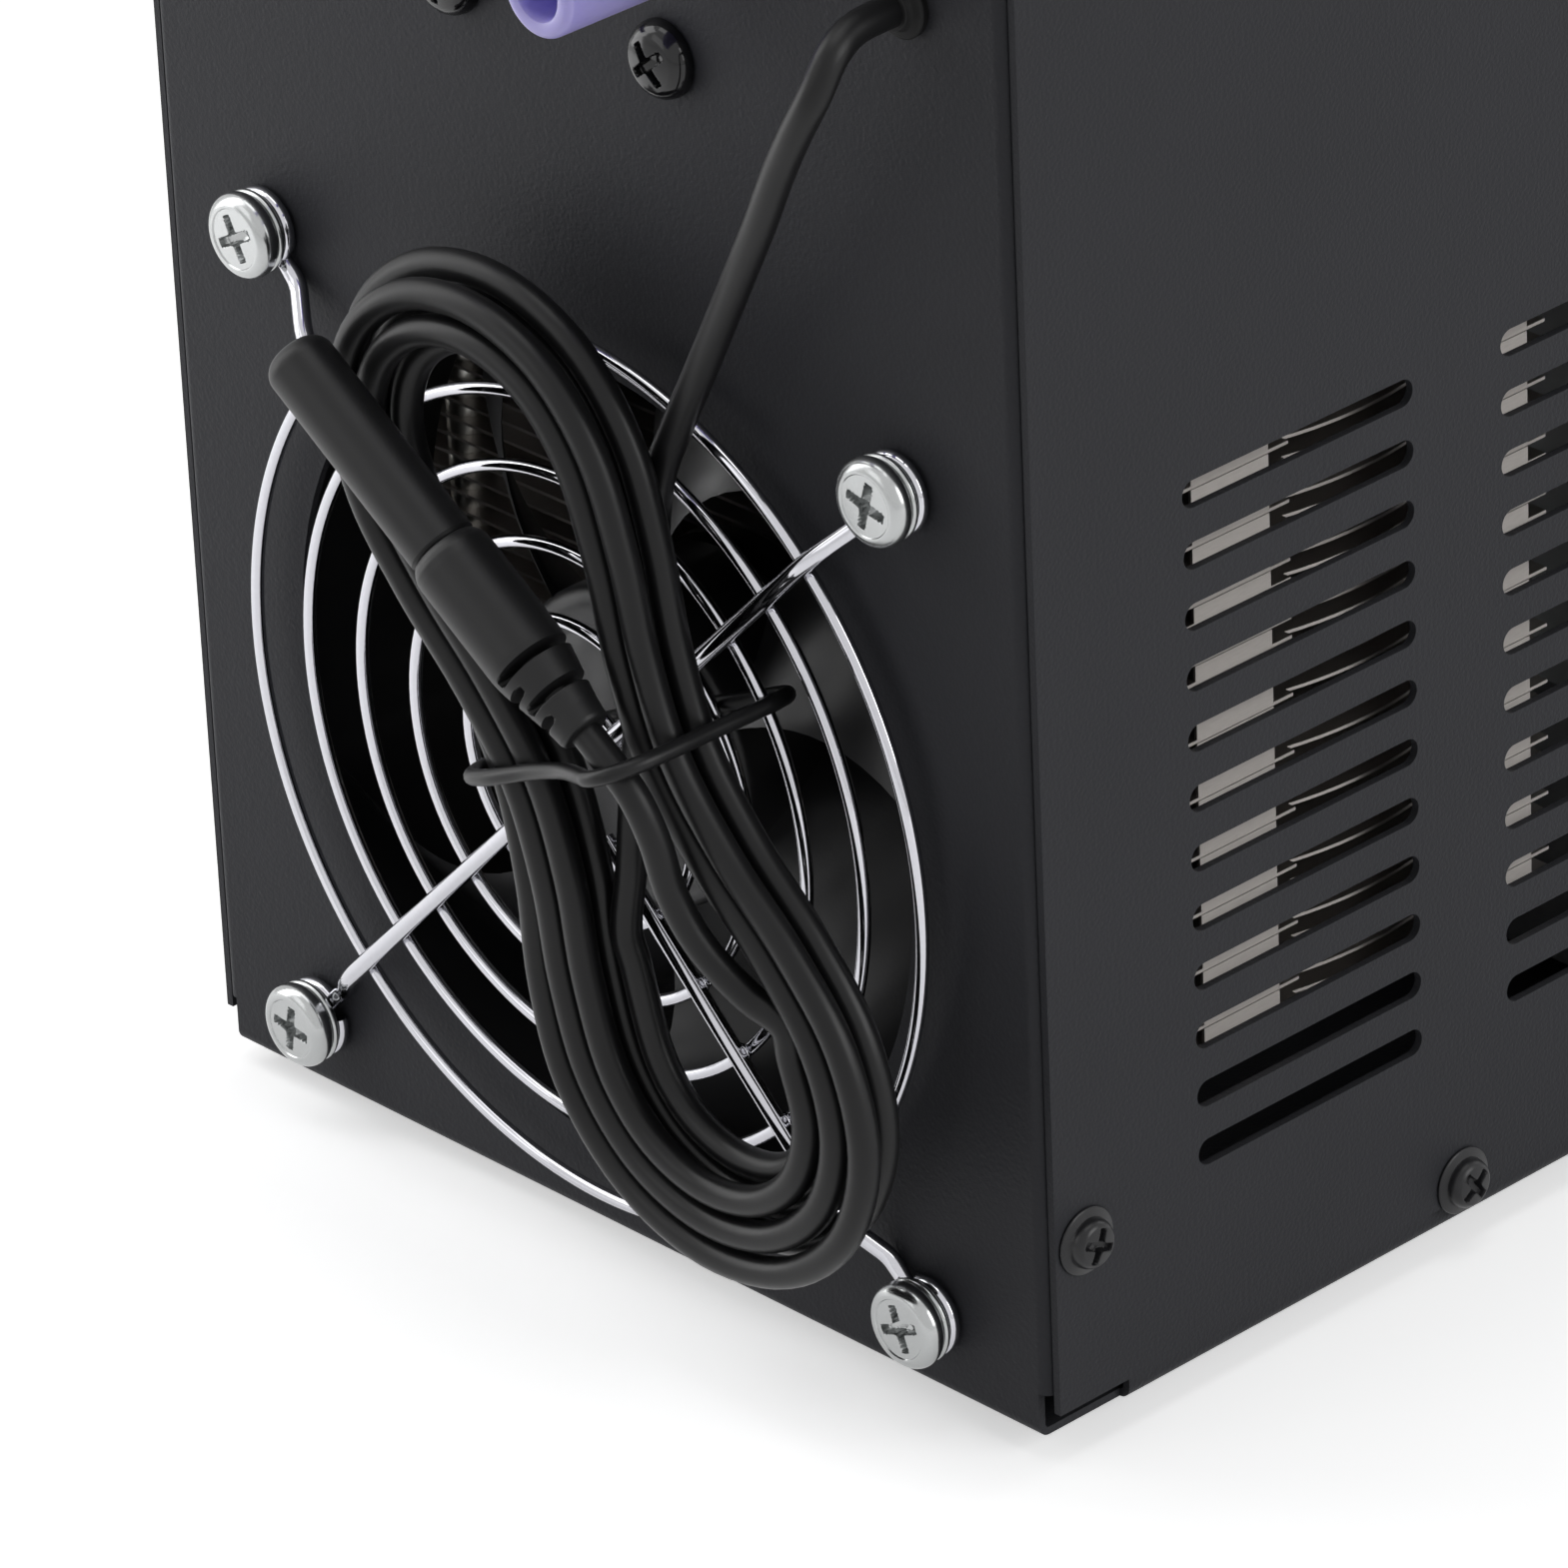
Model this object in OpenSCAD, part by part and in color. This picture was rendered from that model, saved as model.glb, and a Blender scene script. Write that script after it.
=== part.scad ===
// Thermoelectric aquarium chiller: a bent steel case with a fan, a finned
// heat-pipe cooler and a water block, and a temperature probe on a tied cord.
// Rear panel with the fan at +Y, control panel at -Y, feet on the plane z = 0.

/* [Case] */
// Width over the cover
case_w = 144; // [142:1:164]
// Depth from the control panel to the rear panel
case_d = 240; // [236:1:280]
// Height above the feet
case_h = 205; // [203:1:230]
// Thickness of the steel sheet
sheet_t = 1; // [0.8:0.1:1.3]
// Outer radius of the chassis bends
bend_r = 1.6; // [1.5:0.1:3]
// Outer radius of the two long bends of the cover
cover_bend_r = 3; // [2:0.5:5]
// Width of the folded flanges of the chassis
flange_w = 12; // [10:1:14]
// Gap between the cover and the chassis
cover_gap = 0.15; // [0.1:0.05:0.3]
// Distance of the cover's edges from the panel faces and the case bottom
cover_set = 0.8; // [0.4:0.1:1.5]
// Height of a rubber foot
foot_h = 3; // [2:0.5:5]
// Diameter of a rubber foot
foot_d = 14; // [10:1:18]
// Distance of a foot's centre from the case edges
foot_inset = 20; // [14:1:30]

/* [Side slots] */
// Length of a slot
slot_len = 37.1; // [30:0.1:40]
// Height of a slot
slot_h = 3.4; // [2.5:0.1:4]
// Distance between slot columns
slot_pitch_y = 51.6; // [45:0.1:55]
// Distance between slot rows
slot_pitch_z = 7.6; // [6:0.1:9]
// Rows of slots
slot_rows = 12; // [4:1:14]
// Columns of slots
slot_cols = 4; // [2:1:4]
// Height of the lowest row above the case bottom
slot_low = 28; // [22:1:40]

/* [Fan] */
// Side of the square fan frame
fan_size = 120; // [116:1:124]
// Depth of the fan frame
fan_depth = 25; // [24:0.5:28]
// Diameter of the duct in the fan frame
fan_bore_d = 115; // [112:0.5:116]
// Distance between the fan's screw holes
fan_hole_pitch = 105; // [104:0.5:106]
// Diameter of the opening in the rear panel
fan_opening_d = 103; // [96:1:104]
// Gap between the case bottom and the fan frame
fan_low = 2.8; // [2:0.1:8]
// Thickness of the fan frame's corner flanges
fan_flange_t = 4; // [3:0.5:5]
// Diameter of the rotor's hub
hub_d = 40; // [38:1:44]
// Wall of the hub
hub_wall = 1.6; // [1.2:0.1:2]
// Number of blades
blade_count = 7; // [5:1:9]
// Thickness of a blade
blade_t = 1.8; // [1.2:0.1:2.2]
// Turn of a blade from front to back
blade_twist = 34; // [20:1:40]
// Gap between the blade tips and the duct
blade_gap = 1.2; // [0.8:0.1:2]
// Diameter of the fan's shaft
shaft_d = 3; // [2.5:0.5:3.5]
// Radial running gap of the shaft in its bearings
shaft_gap = 0.04; // [0.02:0.01:0.08]

/* [Guard] */
// Wire of the rings
ring_wire = 1.6; // [1.4:0.1:2]
// Wire of the ribs
rib_wire = 2.2; // [2:0.1:2.6]
// Number of rings
ring_count = 6; // [4:1:6]
// Radius of the smallest ring
ring_first_r = 9.7; // [8:0.1:12]
// Distance between rings
ring_pitch = 9.3; // [8:0.1:9.4]
// Height of the ring centres off the panel
ring_off = 3; // [3:0.1:4]
// Diameter of a guard screw's head
guard_head_d = 10.9; // [9:0.1:12]
// Height of a guard screw's head
guard_head_h = 3.6; // [3:0.1:4.5]
// Diameter of a guard screw's shank
guard_shank_d = 4.1; // [3.5:0.1:4.6]

/* [Cooler] */
// Number of fins
fin_count = 34; // [20:1:35]
// Distance between fins
fin_pitch = 2.45; // [2:0.05:2.5]
// Thickness of a fin
fin_t = 0.4; // [0.3:0.1:0.6]
// Width of a fin
fin_w = 132; // [126:1:134]
// Length of a fin along the air
fin_len = 61; // [58:1:70]
// Height of the lowest fin above the case bottom
fin_low = 34.5; // [32:0.5:38]
// Gap between the fan frame and the fins
fin_gap = 2.5; // [1:0.5:6]
// Length of a folded tab at a fin corner
fin_tab_len = 12.4; // [10:0.1:14]
// Diameter of a heat pipe
pipe_d = 6; // [5:0.5:6.5]
// Bend radius of a heat pipe
pipe_bend_r = 18; // [15:1:20]
// Distance of the outer pipe legs from the middle
pipe_out_x = 56; // [54:1:58]
// Distance of the inner pipe legs from the middle
pipe_in_x = 40; // [38:1:44]
// Distance between neighbouring pipes along the air
pipe_pitch_y = 18; // [15:1:18]
// Thickness of the hot base plate
base_t = 12; // [10:1:13]
// Width of the hot base plate
base_w = 96; // [92:1:100]
// Length of the hot base plate
base_l = 64; // [62:1:70]
// Side of the thermoelectric module
module_w = 50; // [40:1:56]
// Thickness of the thermoelectric module
module_t = 4; // [3.2:0.1:5]

/* [Water side] */
// Outer diameter of a hose stub
stub_d = 10.8; // [9:0.1:11]
// Bore of a hose stub
stub_bore = 6.6; // [5:0.1:7]
// Length of a stub outside the rear panel
stub_out = 25; // [18:1:35]
// Distance of a stub from the middle
stub_x = 24.6; // [24:0.1:28]
// Height of the stubs above the case bottom
stub_z = 175; // [173:0.5:177]
// Width of the water block
block_w = 72; // [70:1:76]
// Length of the water block
block_l = 60; // [56:1:64]
// Height of the water block
block_t = 15; // [14:0.5:17]
// Wall of the water block round its channel
block_wall = 7; // [6:0.5:8]
// Thickness of the block's lid
lid_t = 3; // [2:0.5:4]

/* [Controls] */
// Width of the display window
window_w = 54; // [44:1:64]
// Height of the display window
window_h = 24; // [20:1:30]
// Width of the frame round the window
bezel_edge = 4; // [3:0.5:6]
// Height of the display's middle above the case bottom
window_z = 160; // [120:1:170]
// Diameter of a push button
button_d = 8; // [6:0.5:10]
// Distance between buttons
button_pitch = 18; // [14:1:24]
// Distance of the buttons below the display's middle
button_drop = 30; // [26:1:36]
// Height of a button off the control panel
button_out = 2.5; // [2.2:0.1:4]
// Travel of a button
button_travel = 1; // [0.5:0.1:1.2]

/* [Power] */
// Width of the power inlet's face
inlet_w = 31; // [30:0.5:32]
// Height of the power inlet's face
inlet_h = 24; // [23:0.5:25]
// Distance of the inlet from the middle
inlet_x = 50.5; // [50:0.5:52]
// Height of the inlet's middle above the case bottom
inlet_z = 185; // [180:0.5:188]
// Width of the power switch's frame
switch_w = 21; // [19:0.5:23]
// Height of the power switch's frame
switch_h = 15; // [14:0.5:15.5]
// Distance of the switch from the middle
switch_x = 19; // [12:0.5:20]
// Height of the switch's middle above the case bottom
switch_z = 193; // [192:0.5:194]

/* [Cord] */
// Diameter of the probe's cord
cord_d = 3.8; // [3.4:0.1:3.9]
// Distance between neighbouring runs of the tied cord
cord_pitch = 4.4; // [4.4:0.1:4.6]
// Lean of the tied cord from the vertical, in degrees
hank_lean = 24.5; // [15:0.5:30]
// Diameter of the probe's sleeve
probe_d = 8.4; // [7:0.1:9]
// Length of the probe's sleeve
probe_len = 30; // [25:1:40]
// Diameter of the probe's moulded boot
boot_d = 9.9; // [9.5:0.1:11]
// Length of the probe's moulded boot
boot_len = 27; // [24:1:30]

/* [Hidden] */
$fn = 48;

// Common small sizes
over = 1;
fit = 0.05;
slip = 0.3;
fuse = 0.2;

// Planes of the case
bezel_t = 2;
front_out = max(bezel_t, button_out);
rear_y = (case_d + front_out - stub_out) / 2;
front_y = rear_y - case_d;
mid_y = (rear_y + front_y) / 2;
base_z = foot_h;
chassis_w = case_w - 2 * (sheet_t + cover_gap);
chassis_h = case_h - sheet_t - cover_gap;
top_z = base_z + chassis_h;
inner_rear_y = rear_y - sheet_t;
inner_front_y = front_y + sheet_t;
inner_z = base_z + sheet_t;

// Side slots
slot_rear = (case_d - (slot_cols - 1) * slot_pitch_y - slot_len) / 2;

// Cover screws
cover_flange_d = 8.4;
cover_head_d = 5.6;
cover_head_h = 1.9;
cover_flange_t = 0.7;
cover_shank_d = 3;
cover_shank_l = 5;
cover_screw_rear = 5.5;
cover_screw_up = 25;
cover_screw_in = 67.5;
cover_screw_low = 6.3;

// Fan
fan_z = base_z + fan_low + fan_size / 2;
fan_y = inner_rear_y;
fan_back_y = fan_y - fan_depth;
fan_corner_r = 6;
fan_duct_wall = 1.6;
fan_hole_d = guard_shank_d + 2 * fit;
motor_base_t = 2.5;
strut_w = 5;
strut_t = 3;
hub_recess = 3;
hub_depth = 17;
hub_top_t = 2;
hub_edge_r = 2;
magnet_t = 1.6;
bearing_d = 8;
bearing_t = 3;
tube_wall = 1.4;
tube_len = 14;
stator_d = 29;
stator_t = 8;
stator_pole_w = 8;
stator_core_d = 16;
blade_depth = 15;
blade_set = 1;
blade_sweep = 30;
blade_steps = 6;
board_t = 1.6;

// Guard
rib_off = ring_off + ring_wire / 2 + rib_wire / 2 + fit;
eye_wire = rib_wire - fuse;
leg_wire = eye_wire - fuse;
foot_wire = leg_wire - fuse;
guard_eye_r = guard_shank_d / 2 + rib_wire / 2 + slip;
ring_out_r = ring_first_r + (ring_count - 1) * ring_pitch;
rib_bend_r = ring_out_r + ring_wire * 3;
rib_end_r = rib_bend_r + rib_wire / 2;
guard_shank_l = 12;
recess_w = 1.2;
guard_head_edge = 1.2;
screw_edge = 0.6;
recess_len_share = 0.5;
recess_depth = 1.4;

// Cooler
fin_y = fan_back_y - fin_gap - fin_len / 2;
fin_z = base_z + fin_low;
fin_edge = 3;
fin_step = 1.2;
fin_step_len = 3.2;
fin_bulge = 1.5;
fin_tab_gap = 0.1;
pipe_count = 4;
pipe_tip = 6;
block_up = 0.5;
block_z = base_z + stub_z - block_t / 2 - block_up;
base_top_z = block_z - module_t;
base_low_z = base_top_z - base_t;
pipe_z = base_low_z + base_t / 2;

// Water side
stub_step = 0.2;
stub_root_d = stub_d - 2 * stub_step;
port_d = stub_root_d + 2 * fit;
port_depth = 4;
block_y = fin_y;
block_rear_y = block_y + block_l / 2;
block_floor = 3;
rib_count = 4;
rib_t = 2;
gasket_t = 1;
gasket_z = block_z + block_t;
lid_z = gasket_z + gasket_t;
nut_t = 5;
nut_w = 16;
seal_t = 1.5;
seal_d = 15;
panel_hole_gap = 0.4;
lid_screw_d = 2.5;
lid_hole_d = lid_screw_d + 2 * fit;
lid_head_d = 4.6;
lid_head_h = 1.8;
lid_shank_l = 9;
bar_t = 3;
bar_l = 14;
clamp_inset = 6;
clamp_x = base_w / 2 - clamp_inset;
clamp_d = 4;
clamp_head_d = 7.5;
clamp_head_h = 3;
clamp_in = 8;

// Bracket between the rear panel and the base plate
bracket_t = 2;
bracket_w = 56;
bracket_x = 17.5;
bracket_h = 18;
bracket_reach = 50;
bracket_screw_d = 4;
bracket_hole_d = bracket_screw_d + 2 * fit;
bracket_head_d = 9.4;
bracket_head_h = 3.2;
bracket_screw_z = base_low_z + base_t / 2;
bracket_nut_w = 7;
bracket_nut_t = 3.2;
bracket_shank_l = 7;
shelf_screw_d = 3;
shelf_head_d = 5.6;
shelf_head_h = 2;
shelf_in = 5;
shelf_x = 12;
shelf_y = 42;

// Power supply
supply_w = 98;
supply_l = 105;
supply_h = 38;
supply_stand = 4;
supply_gap = 18;
supply_y = inner_front_y + supply_gap + supply_l / 2;
supply_z = inner_z + supply_stand;
supply_r = 2;
stand_d = 6;
stand_inset = 9;
terminal_w = 60;
terminal_l = 12;
terminal_h = 14;
terminal_count = 7;
terminal_wall = 1.2;

// Control board and what it carries
board_w = 100;
board_h = 70;
board_gap = 10;
board_y = inner_front_y + board_gap;
board_drop = 12;
board_z = base_z + window_z - board_drop;
board_pin_d = 5;
board_pin_inset = 5;
digit_w = 50;
digit_h = 19;
digit_gap = 0.5;
digit_t = board_gap - digit_gap;
key_w = 6;
key_t = 3.6;
key_pin_d = 3.4;
key_pin_l = 1.2;
relay_w = 19;
relay_h = 15.5;
relay_t = 15;
relay_count = 2;
relay_x = 24;

// Front pieces
bezel_r = 2;
window_t = 1.6;
button_z = base_z + window_z - button_drop;
button_flange_w = 1.5;
button_flange_d = button_d + 2 * button_flange_w;
button_flange_t = 1;
button_stem_d = 3;
key_face_y = board_y - key_t - key_pin_l;
button_gap = 0.2;
button_hole_d = button_d + 2 * button_gap;
button_edge = 0.6;

// Power inlet and switch
inlet_lip = 2;
inlet_r = 2;
inlet_edge = 1.5;
inlet_body_w = inlet_w - 2 * inlet_edge;
inlet_body_h = inlet_h - 2 * inlet_edge;
inlet_depth = 20;
socket_w = 24;
socket_h = 16.5;
socket_depth = 16;
pin_w = 2;
pin_h = 4;
pin_len = 10.5;
pin_spread = 7;
pin_off = 3;
switch_lip = 2;
switch_edge = 1;
switch_body_w = switch_w - 2 * switch_edge;
switch_body_h = switch_h - 2 * switch_edge;
switch_depth = 14;
rocker_side = 1.5;
rocker_w = switch_body_h - 2 * rocker_side;
rocker_tilt = 10;
rocker_gap = 0.3;
rocker_drop = 4;
rocker_face = 3.5;
rocker_low = 3;
rocker_pin_d = 3;
rocker_pin_gap = 0.06;
rocker_pin_in = 0.6;
rocker_pin_l = rocker_w + 2 * (rocker_gap + rocker_pin_in);
rocker_half = 8;

// Cord: the lead's places are x, distance off the rear panel and height above the
// case bottom; the tail's and the tie's run along and across the hank
bush_x = -56;
bush_z = 174.5;
bush_d = 9;
bush_flange_t = 1.6;
bush_nose = 4.5;
bush_neck_d = 7;
bush_back = 3;
lead_points = [[-56.4, 8.4, 174.2], [-57, 12, 172.6], [-56.4, 14, 168.8],
    [-54, 14.4, 164.4], [-50.4, 14, 158.4], [-45.6, 13, 149.8],
    [-40.2, 11.6, 141.2], [-35, 10.2, 133], [-30, 9, 125], [-25.4, 8.3, 117.2],
    [-21.8, 8.2, 109.4], [-20.2, 8.2, 99.8], [-19, 8.3, 89.6], [-17.4, 8.6, 79.8],
    [-16.8, 9.6, 69.8], [-17.4, 11.4, 60]];
tail_points = [[-28, -16, 18.2], [-21, -13.6, 20.3], [-14, -13.6, 21.9], [-7, -15.3, 23],
    [-1.5, -15.4, 23.8]];
hank_x = -17.6;
hank_z = 74.4;
hank_off = 12.6;
hank_top_a = 48;
hank_top_r = 11.8;
hank_low_a = 49;
hank_low_r = 13.2;
hank_waist = 5;
hank_shear = 0.067;
hank_turn_at = 3;
hank_end = 5.375;
hank_steps = 24;
hank_sides = 6;
hank_first = 2;
cord_sides = 8;
probe_x = -25.3;
probe_z = 85;
probe_off = 24.1;
probe_turn = 34.7;
probe_edge = probe_d / 4;
boot_tail_d = 5.4;
boot_head_share = 0.62;
boot_cut_w = 1;
boot_cut_count = 4;
boot_cut_pitch = 2.3;
boot_cut_start = 3;
tie_d = 2;
tie_sides = 6;
tie_points = [[15.8, 1.2], [2, 1.2], [-14, 1.2], [-20.8, 1.2], [-22.4, 4], [-22.6, 9], [-22.4, 15],
    [-20.8, 20], [-19, 24.4], [-16.6, 27.4], [-13.2, 28], [-9.4, 26.8], [-2, 22.8], [6, 20.6], [15, 20.2],
    [21.6, 18], [22.8, 13], [21, 9], [17.6, 6.4], [16.6, 3.4]];
tie_u = 2;

// Shapes used by several pieces

module rounded(w, h, r) {
    square([w - 2 * r, h], center = true);
    square([w, h - 2 * r], center = true);
    for (x = [-1, 1], y = [-1, 1])
        translate([x * (w / 2 - r), y * (h / 2 - r)]) circle(r);
}

// A box from ranges, and the range of a length about its middle
module block(x, y, z) {
    translate([x[0], y[0], z[0]]) cube([x[1] - x[0], y[1] - y[0], z[1] - z[0]]);
}
function about(mid, length) = [mid - length / 2, mid + length / 2];

// A cylinder along +Y from y0 to y1
module rod_y(x, z, y0, y1, d) {
    translate([x, y0, z]) rotate([-90, 0, 0]) cylinder(h = y1 - y0, d = d);
}

// A screw with its head's seat at the origin and its head towards +Z
module screw(head_d, head_h, shank_d, shank_l, edge) {
    recess = 2 * min(recess_depth, head_h / 2);
    difference() {
        rotate_extrude() {
            square([head_d / 2 - edge, head_h]);
            square([head_d / 2, head_h - edge]);
            translate([head_d / 2 - edge, head_h - edge]) circle(edge);
        }
        for (a = [0, 90])
            rotate([0, 0, a])
                translate([0, 0, head_h])
                    cube([head_d * recess_len_share, recess_w, recess], center = true);
    }
    translate([0, 0, -shank_l]) cylinder(h = shank_l + fuse, d = shank_d);
}

// Case

// A bent ring of sheet, of which the callers cut one side away
module sheet_ring(w, h) {
    difference() {
        rounded(w, h, bend_r);
        rounded(w - 2 * sheet_t, h - 2 * sheet_t, bend_r - sheet_t);
    }
}

// A panel with its two folded flanges, seen from above, with the open side at e
module panel_section(y_from, y_to, e) {
    difference() {
        translate([0, (y_from + y_to) / 2]) sheet_ring(chassis_w, y_to - y_from);
        translate([-case_w / 2, e < 0 ? y_from - over : y_to - bend_r]) square([case_w, bend_r + over]);
    }
}

module chassis_shell() {
    // Bottom, rear and front panels with the two top flanges
    rotate([90, 0, 90])
        translate([0, 0, -chassis_w / 2 + bend_r])
            linear_extrude(chassis_w - 2 * bend_r)
                difference() {
                    translate([mid_y, base_z + chassis_h / 2]) sheet_ring(case_d, chassis_h);
                    translate([front_y + flange_w, top_z - chassis_h / 2])
                        square([case_d - 2 * flange_w, chassis_h]);
                }
    // Side flanges of the rear and front panels
    translate([0, 0, base_z + flange_w / 2])
        linear_extrude(chassis_h - flange_w) {
            panel_section(rear_y - flange_w - bend_r, rear_y, -1);
            panel_section(front_y, front_y + flange_w + bend_r, 1);
        }
    // Side flanges of the bottom
    translate([0, rear_y - flange_w - over, 0])
        rotate([90, 0, 0])
            linear_extrude(case_d - 2 * flange_w - 2 * over)
                difference() {
                    translate([0, base_z + (flange_w + bend_r) / 2]) sheet_ring(chassis_w, flange_w + bend_r);
                    translate([-case_w / 2, base_z + flange_w]) square([case_w, 2 * bend_r]);
                }
}

module cover_screw_places() {
    for (s = [-1, 1], e = [-1, 1]) {
        translate([s * case_w / 2, mid_y + e * (case_d / 2 - cover_screw_rear), base_z + cover_screw_up])
            rotate([0, s * 90, 0]) children();
        translate([s * case_w / 2, mid_y + e * (case_d / 2 - cover_screw_in), base_z + cover_screw_low])
            rotate([0, s * 90, 0]) children();
    }
}

module rear_hole(x, z, d) {
    rod_y(x, z, inner_rear_y - over, rear_y + over, d);
}

module chassis() {
    color([0.17, 0.17, 0.18])
    difference() {
        chassis_shell();
        cover_screw_places()
            cylinder(h = 4 * (sheet_t + cover_gap), d = cover_shank_d + 2 * fit, center = true);
        // Rear panel: fan, stubs, bracket screws, cord, inlet and switch
        rear_hole(0, fan_z, fan_opening_d);
        for (x = [-1, 1], z = [-1, 1])
            rear_hole(x * fan_hole_pitch / 2, fan_z + z * fan_hole_pitch / 2, fan_hole_d);
        for (s = [-1, 1]) {
            rear_hole(s * stub_x, base_z + stub_z, stub_d + panel_hole_gap);
            rear_hole(s * bracket_x, bracket_screw_z, bracket_hole_d);
        }
        rear_hole(bush_x, base_z + bush_z, bush_neck_d + 2 * fit);
        translate([inlet_x, rear_y, base_z + inlet_z])
            cube([inlet_body_w + 2 * fit, 4 * sheet_t, inlet_body_h + 2 * fit], center = true);
        translate([switch_x, rear_y, base_z + switch_z])
            cube([switch_body_w + 2 * fit, 4 * sheet_t, switch_body_h + 2 * fit], center = true);
        // Control panel: display and buttons
        translate([0, front_y, base_z + window_z])
            cube([window_w + 2 * fit, 4 * sheet_t, window_h + 2 * fit], center = true);
        for (i = [-1, 0, 1])
            rod_y(i * button_pitch, button_z, front_y - over, inner_front_y + over, button_hole_d);
    }
}

module slot_shape() {
    square([slot_len - slot_h, slot_h], center = true);
    for (e = [-1, 1]) translate([e * (slot_len - slot_h) / 2, 0]) circle(d = slot_h);
}

module cover() {
    color([0.235, 0.24, 0.25])
    difference() {
        translate([0, rear_y - cover_set, 0])
            rotate([90, 0, 0])
                linear_extrude(case_d - 2 * cover_set)
                    difference() {
                        translate([0, base_z + case_h / 2]) rounded(case_w, case_h, cover_bend_r);
                        translate([0, base_z + case_h / 2 - cover_bend_r])
                            square([case_w - 2 * sheet_t, case_h - 2 * sheet_t], center = true);
                        translate([0, base_z + case_h / 2])
                            rounded(case_w - 2 * sheet_t, case_h - 2 * sheet_t, cover_bend_r - sheet_t);
                        translate([-case_w / 2 - over, base_z - over])
                            square([case_w + 2 * over, cover_set + over + cover_bend_r]);
                    }
        // Slots through both sides
        rotate([90, 0, 90])
            translate([0, 0, -case_w])
                linear_extrude(2 * case_w)
                    for (c = [0 : slot_cols - 1], r = [0 : slot_rows - 1])
                        translate([rear_y - slot_rear - slot_len / 2 - c * slot_pitch_y,
                            base_z + slot_low + r * slot_pitch_z]) slot_shape();
        cover_screw_places()
            cylinder(h = 2 * sheet_t + cover_gap, d = cover_shank_d + 2 * slip, center = true);
    }
}

module cover_screws() {
    color([0.06, 0.06, 0.065])
    cover_screw_places() {
        cylinder(h = cover_flange_t, d = cover_flange_d);
        translate([0, 0, cover_flange_t])
            screw(cover_head_d, cover_head_h, cover_shank_d, cover_flange_t + cover_shank_l, cover_flange_t);
    }
}

module feet() {
    color([0.05, 0.05, 0.05])
    for (x = [-1, 1], y = [-1, 1])
        translate([x * (case_w / 2 - foot_inset), mid_y + y * (case_d / 2 - foot_inset), 0])
            cylinder(h = foot_h, d1 = foot_d - foot_h / 2, d2 = foot_d);
}

// Fan

module fan_corner_plate(y0) {
    translate([0, y0, fan_z])
        rotate([-90, 0, 0])
            linear_extrude(fan_flange_t)
                difference() {
                    rounded(fan_size, fan_size, fan_corner_r);
                    circle(d = fan_bore_d);
                    for (x = [-1, 1], z = [-1, 1])
                        translate([x, z] * fan_hole_pitch / 2) circle(d = fan_hole_d);
                }
}

module fan_frame() {
    color([0.05, 0.05, 0.055]) {
        fan_corner_plate(fan_y - fan_flange_t);
        fan_corner_plate(fan_back_y);
        difference() {
            rod_y(0, fan_z, fan_back_y + fuse, fan_y - fuse, fan_bore_d + 2 * fan_duct_wall);
            rod_y(0, fan_z, fan_back_y, fan_y, fan_bore_d);
        }
        difference() {
            union() {
                rod_y(0, fan_z, fan_back_y, fan_back_y + motor_base_t, hub_d);
                rod_y(0, fan_z, fan_back_y, fan_back_y + motor_base_t + tube_len, bearing_d + 2 * tube_wall);
            }
            rod_y(0, fan_z, fan_back_y + motor_base_t / 2, fan_back_y + motor_base_t + tube_len + over,
                bearing_d + 2 * fit);
        }
        for (a = [45, 135, 225, 315])
            translate([0, fan_back_y, fan_z])
                rotate([0, a, 0])
                    translate([hub_d / 2 - fuse, 0, -strut_w / 2])
                        cube([(fan_bore_d - hub_d) / 2 + 2 * fuse, strut_t, strut_w]);
    }
}

// A blade's outline across the axis: a swept strip from the hub to the tip
function blade_edge(side) = [for (i = [0 : blade_steps])
    let (r = hub_d / 2 - fuse + i * (fan_bore_d / 2 - blade_gap - hub_d / 2 + fuse) / blade_steps,
        a = blade_sweep * pow(i / blade_steps, 2) + side * blade_t / r * 90 / PI * 2)
    [r * cos(a), r * sin(a)]];

module fan_impeller() {
    hub_y = fan_y - hub_recess;
    color([0.045, 0.045, 0.05]) {
        difference() {
            translate([0, hub_y - hub_depth, fan_z])
                rotate([-90, 0, 0])
                    rotate_extrude() {
                        square([hub_d / 2, hub_depth - hub_edge_r]);
                        square([hub_d / 2 - hub_edge_r, hub_depth]);
                        translate([hub_d / 2 - hub_edge_r, hub_depth - hub_edge_r]) circle(hub_edge_r);
                    }
            rod_y(0, fan_z, hub_y - hub_depth - over, hub_y - hub_top_t, hub_d - 2 * hub_wall);
            rod_y(0, fan_z, hub_y - hub_top_t - over, hub_y - hub_top_t / 2, shaft_d + 2 * fit);
        }
        difference() {
            rod_y(0, fan_z, hub_y - hub_top_t - hub_top_t, hub_y - fuse, bearing_d);
            rod_y(0, fan_z, hub_y - hub_top_t - over - hub_top_t, hub_y - hub_top_t / 2, shaft_d + 2 * fit);
        }
        for (b = [0 : blade_count - 1])
            translate([0, hub_y - blade_set, fan_z])
                rotate([90, b * 360 / blade_count, 0])
                    linear_extrude(blade_depth, twist = blade_twist, slices = blade_steps,
                        segments = 2 * blade_steps + 2)
                        polygon(concat(blade_edge(-1), [for (i = [blade_steps : -1 : 0]) blade_edge(1)[i]]));
    }
}

module fan_magnet() {
    outer = hub_d - 2 * hub_wall - 2 * fit;
    y0 = fan_y - hub_recess - hub_depth;
    color([0.25, 0.24, 0.24])
    difference() {
        rod_y(0, fan_z, y0, y0 + hub_depth - hub_top_t - fit, outer);
        rod_y(0, fan_z, y0 - over, y0 + hub_depth, outer - 2 * magnet_t);
    }
}

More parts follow.
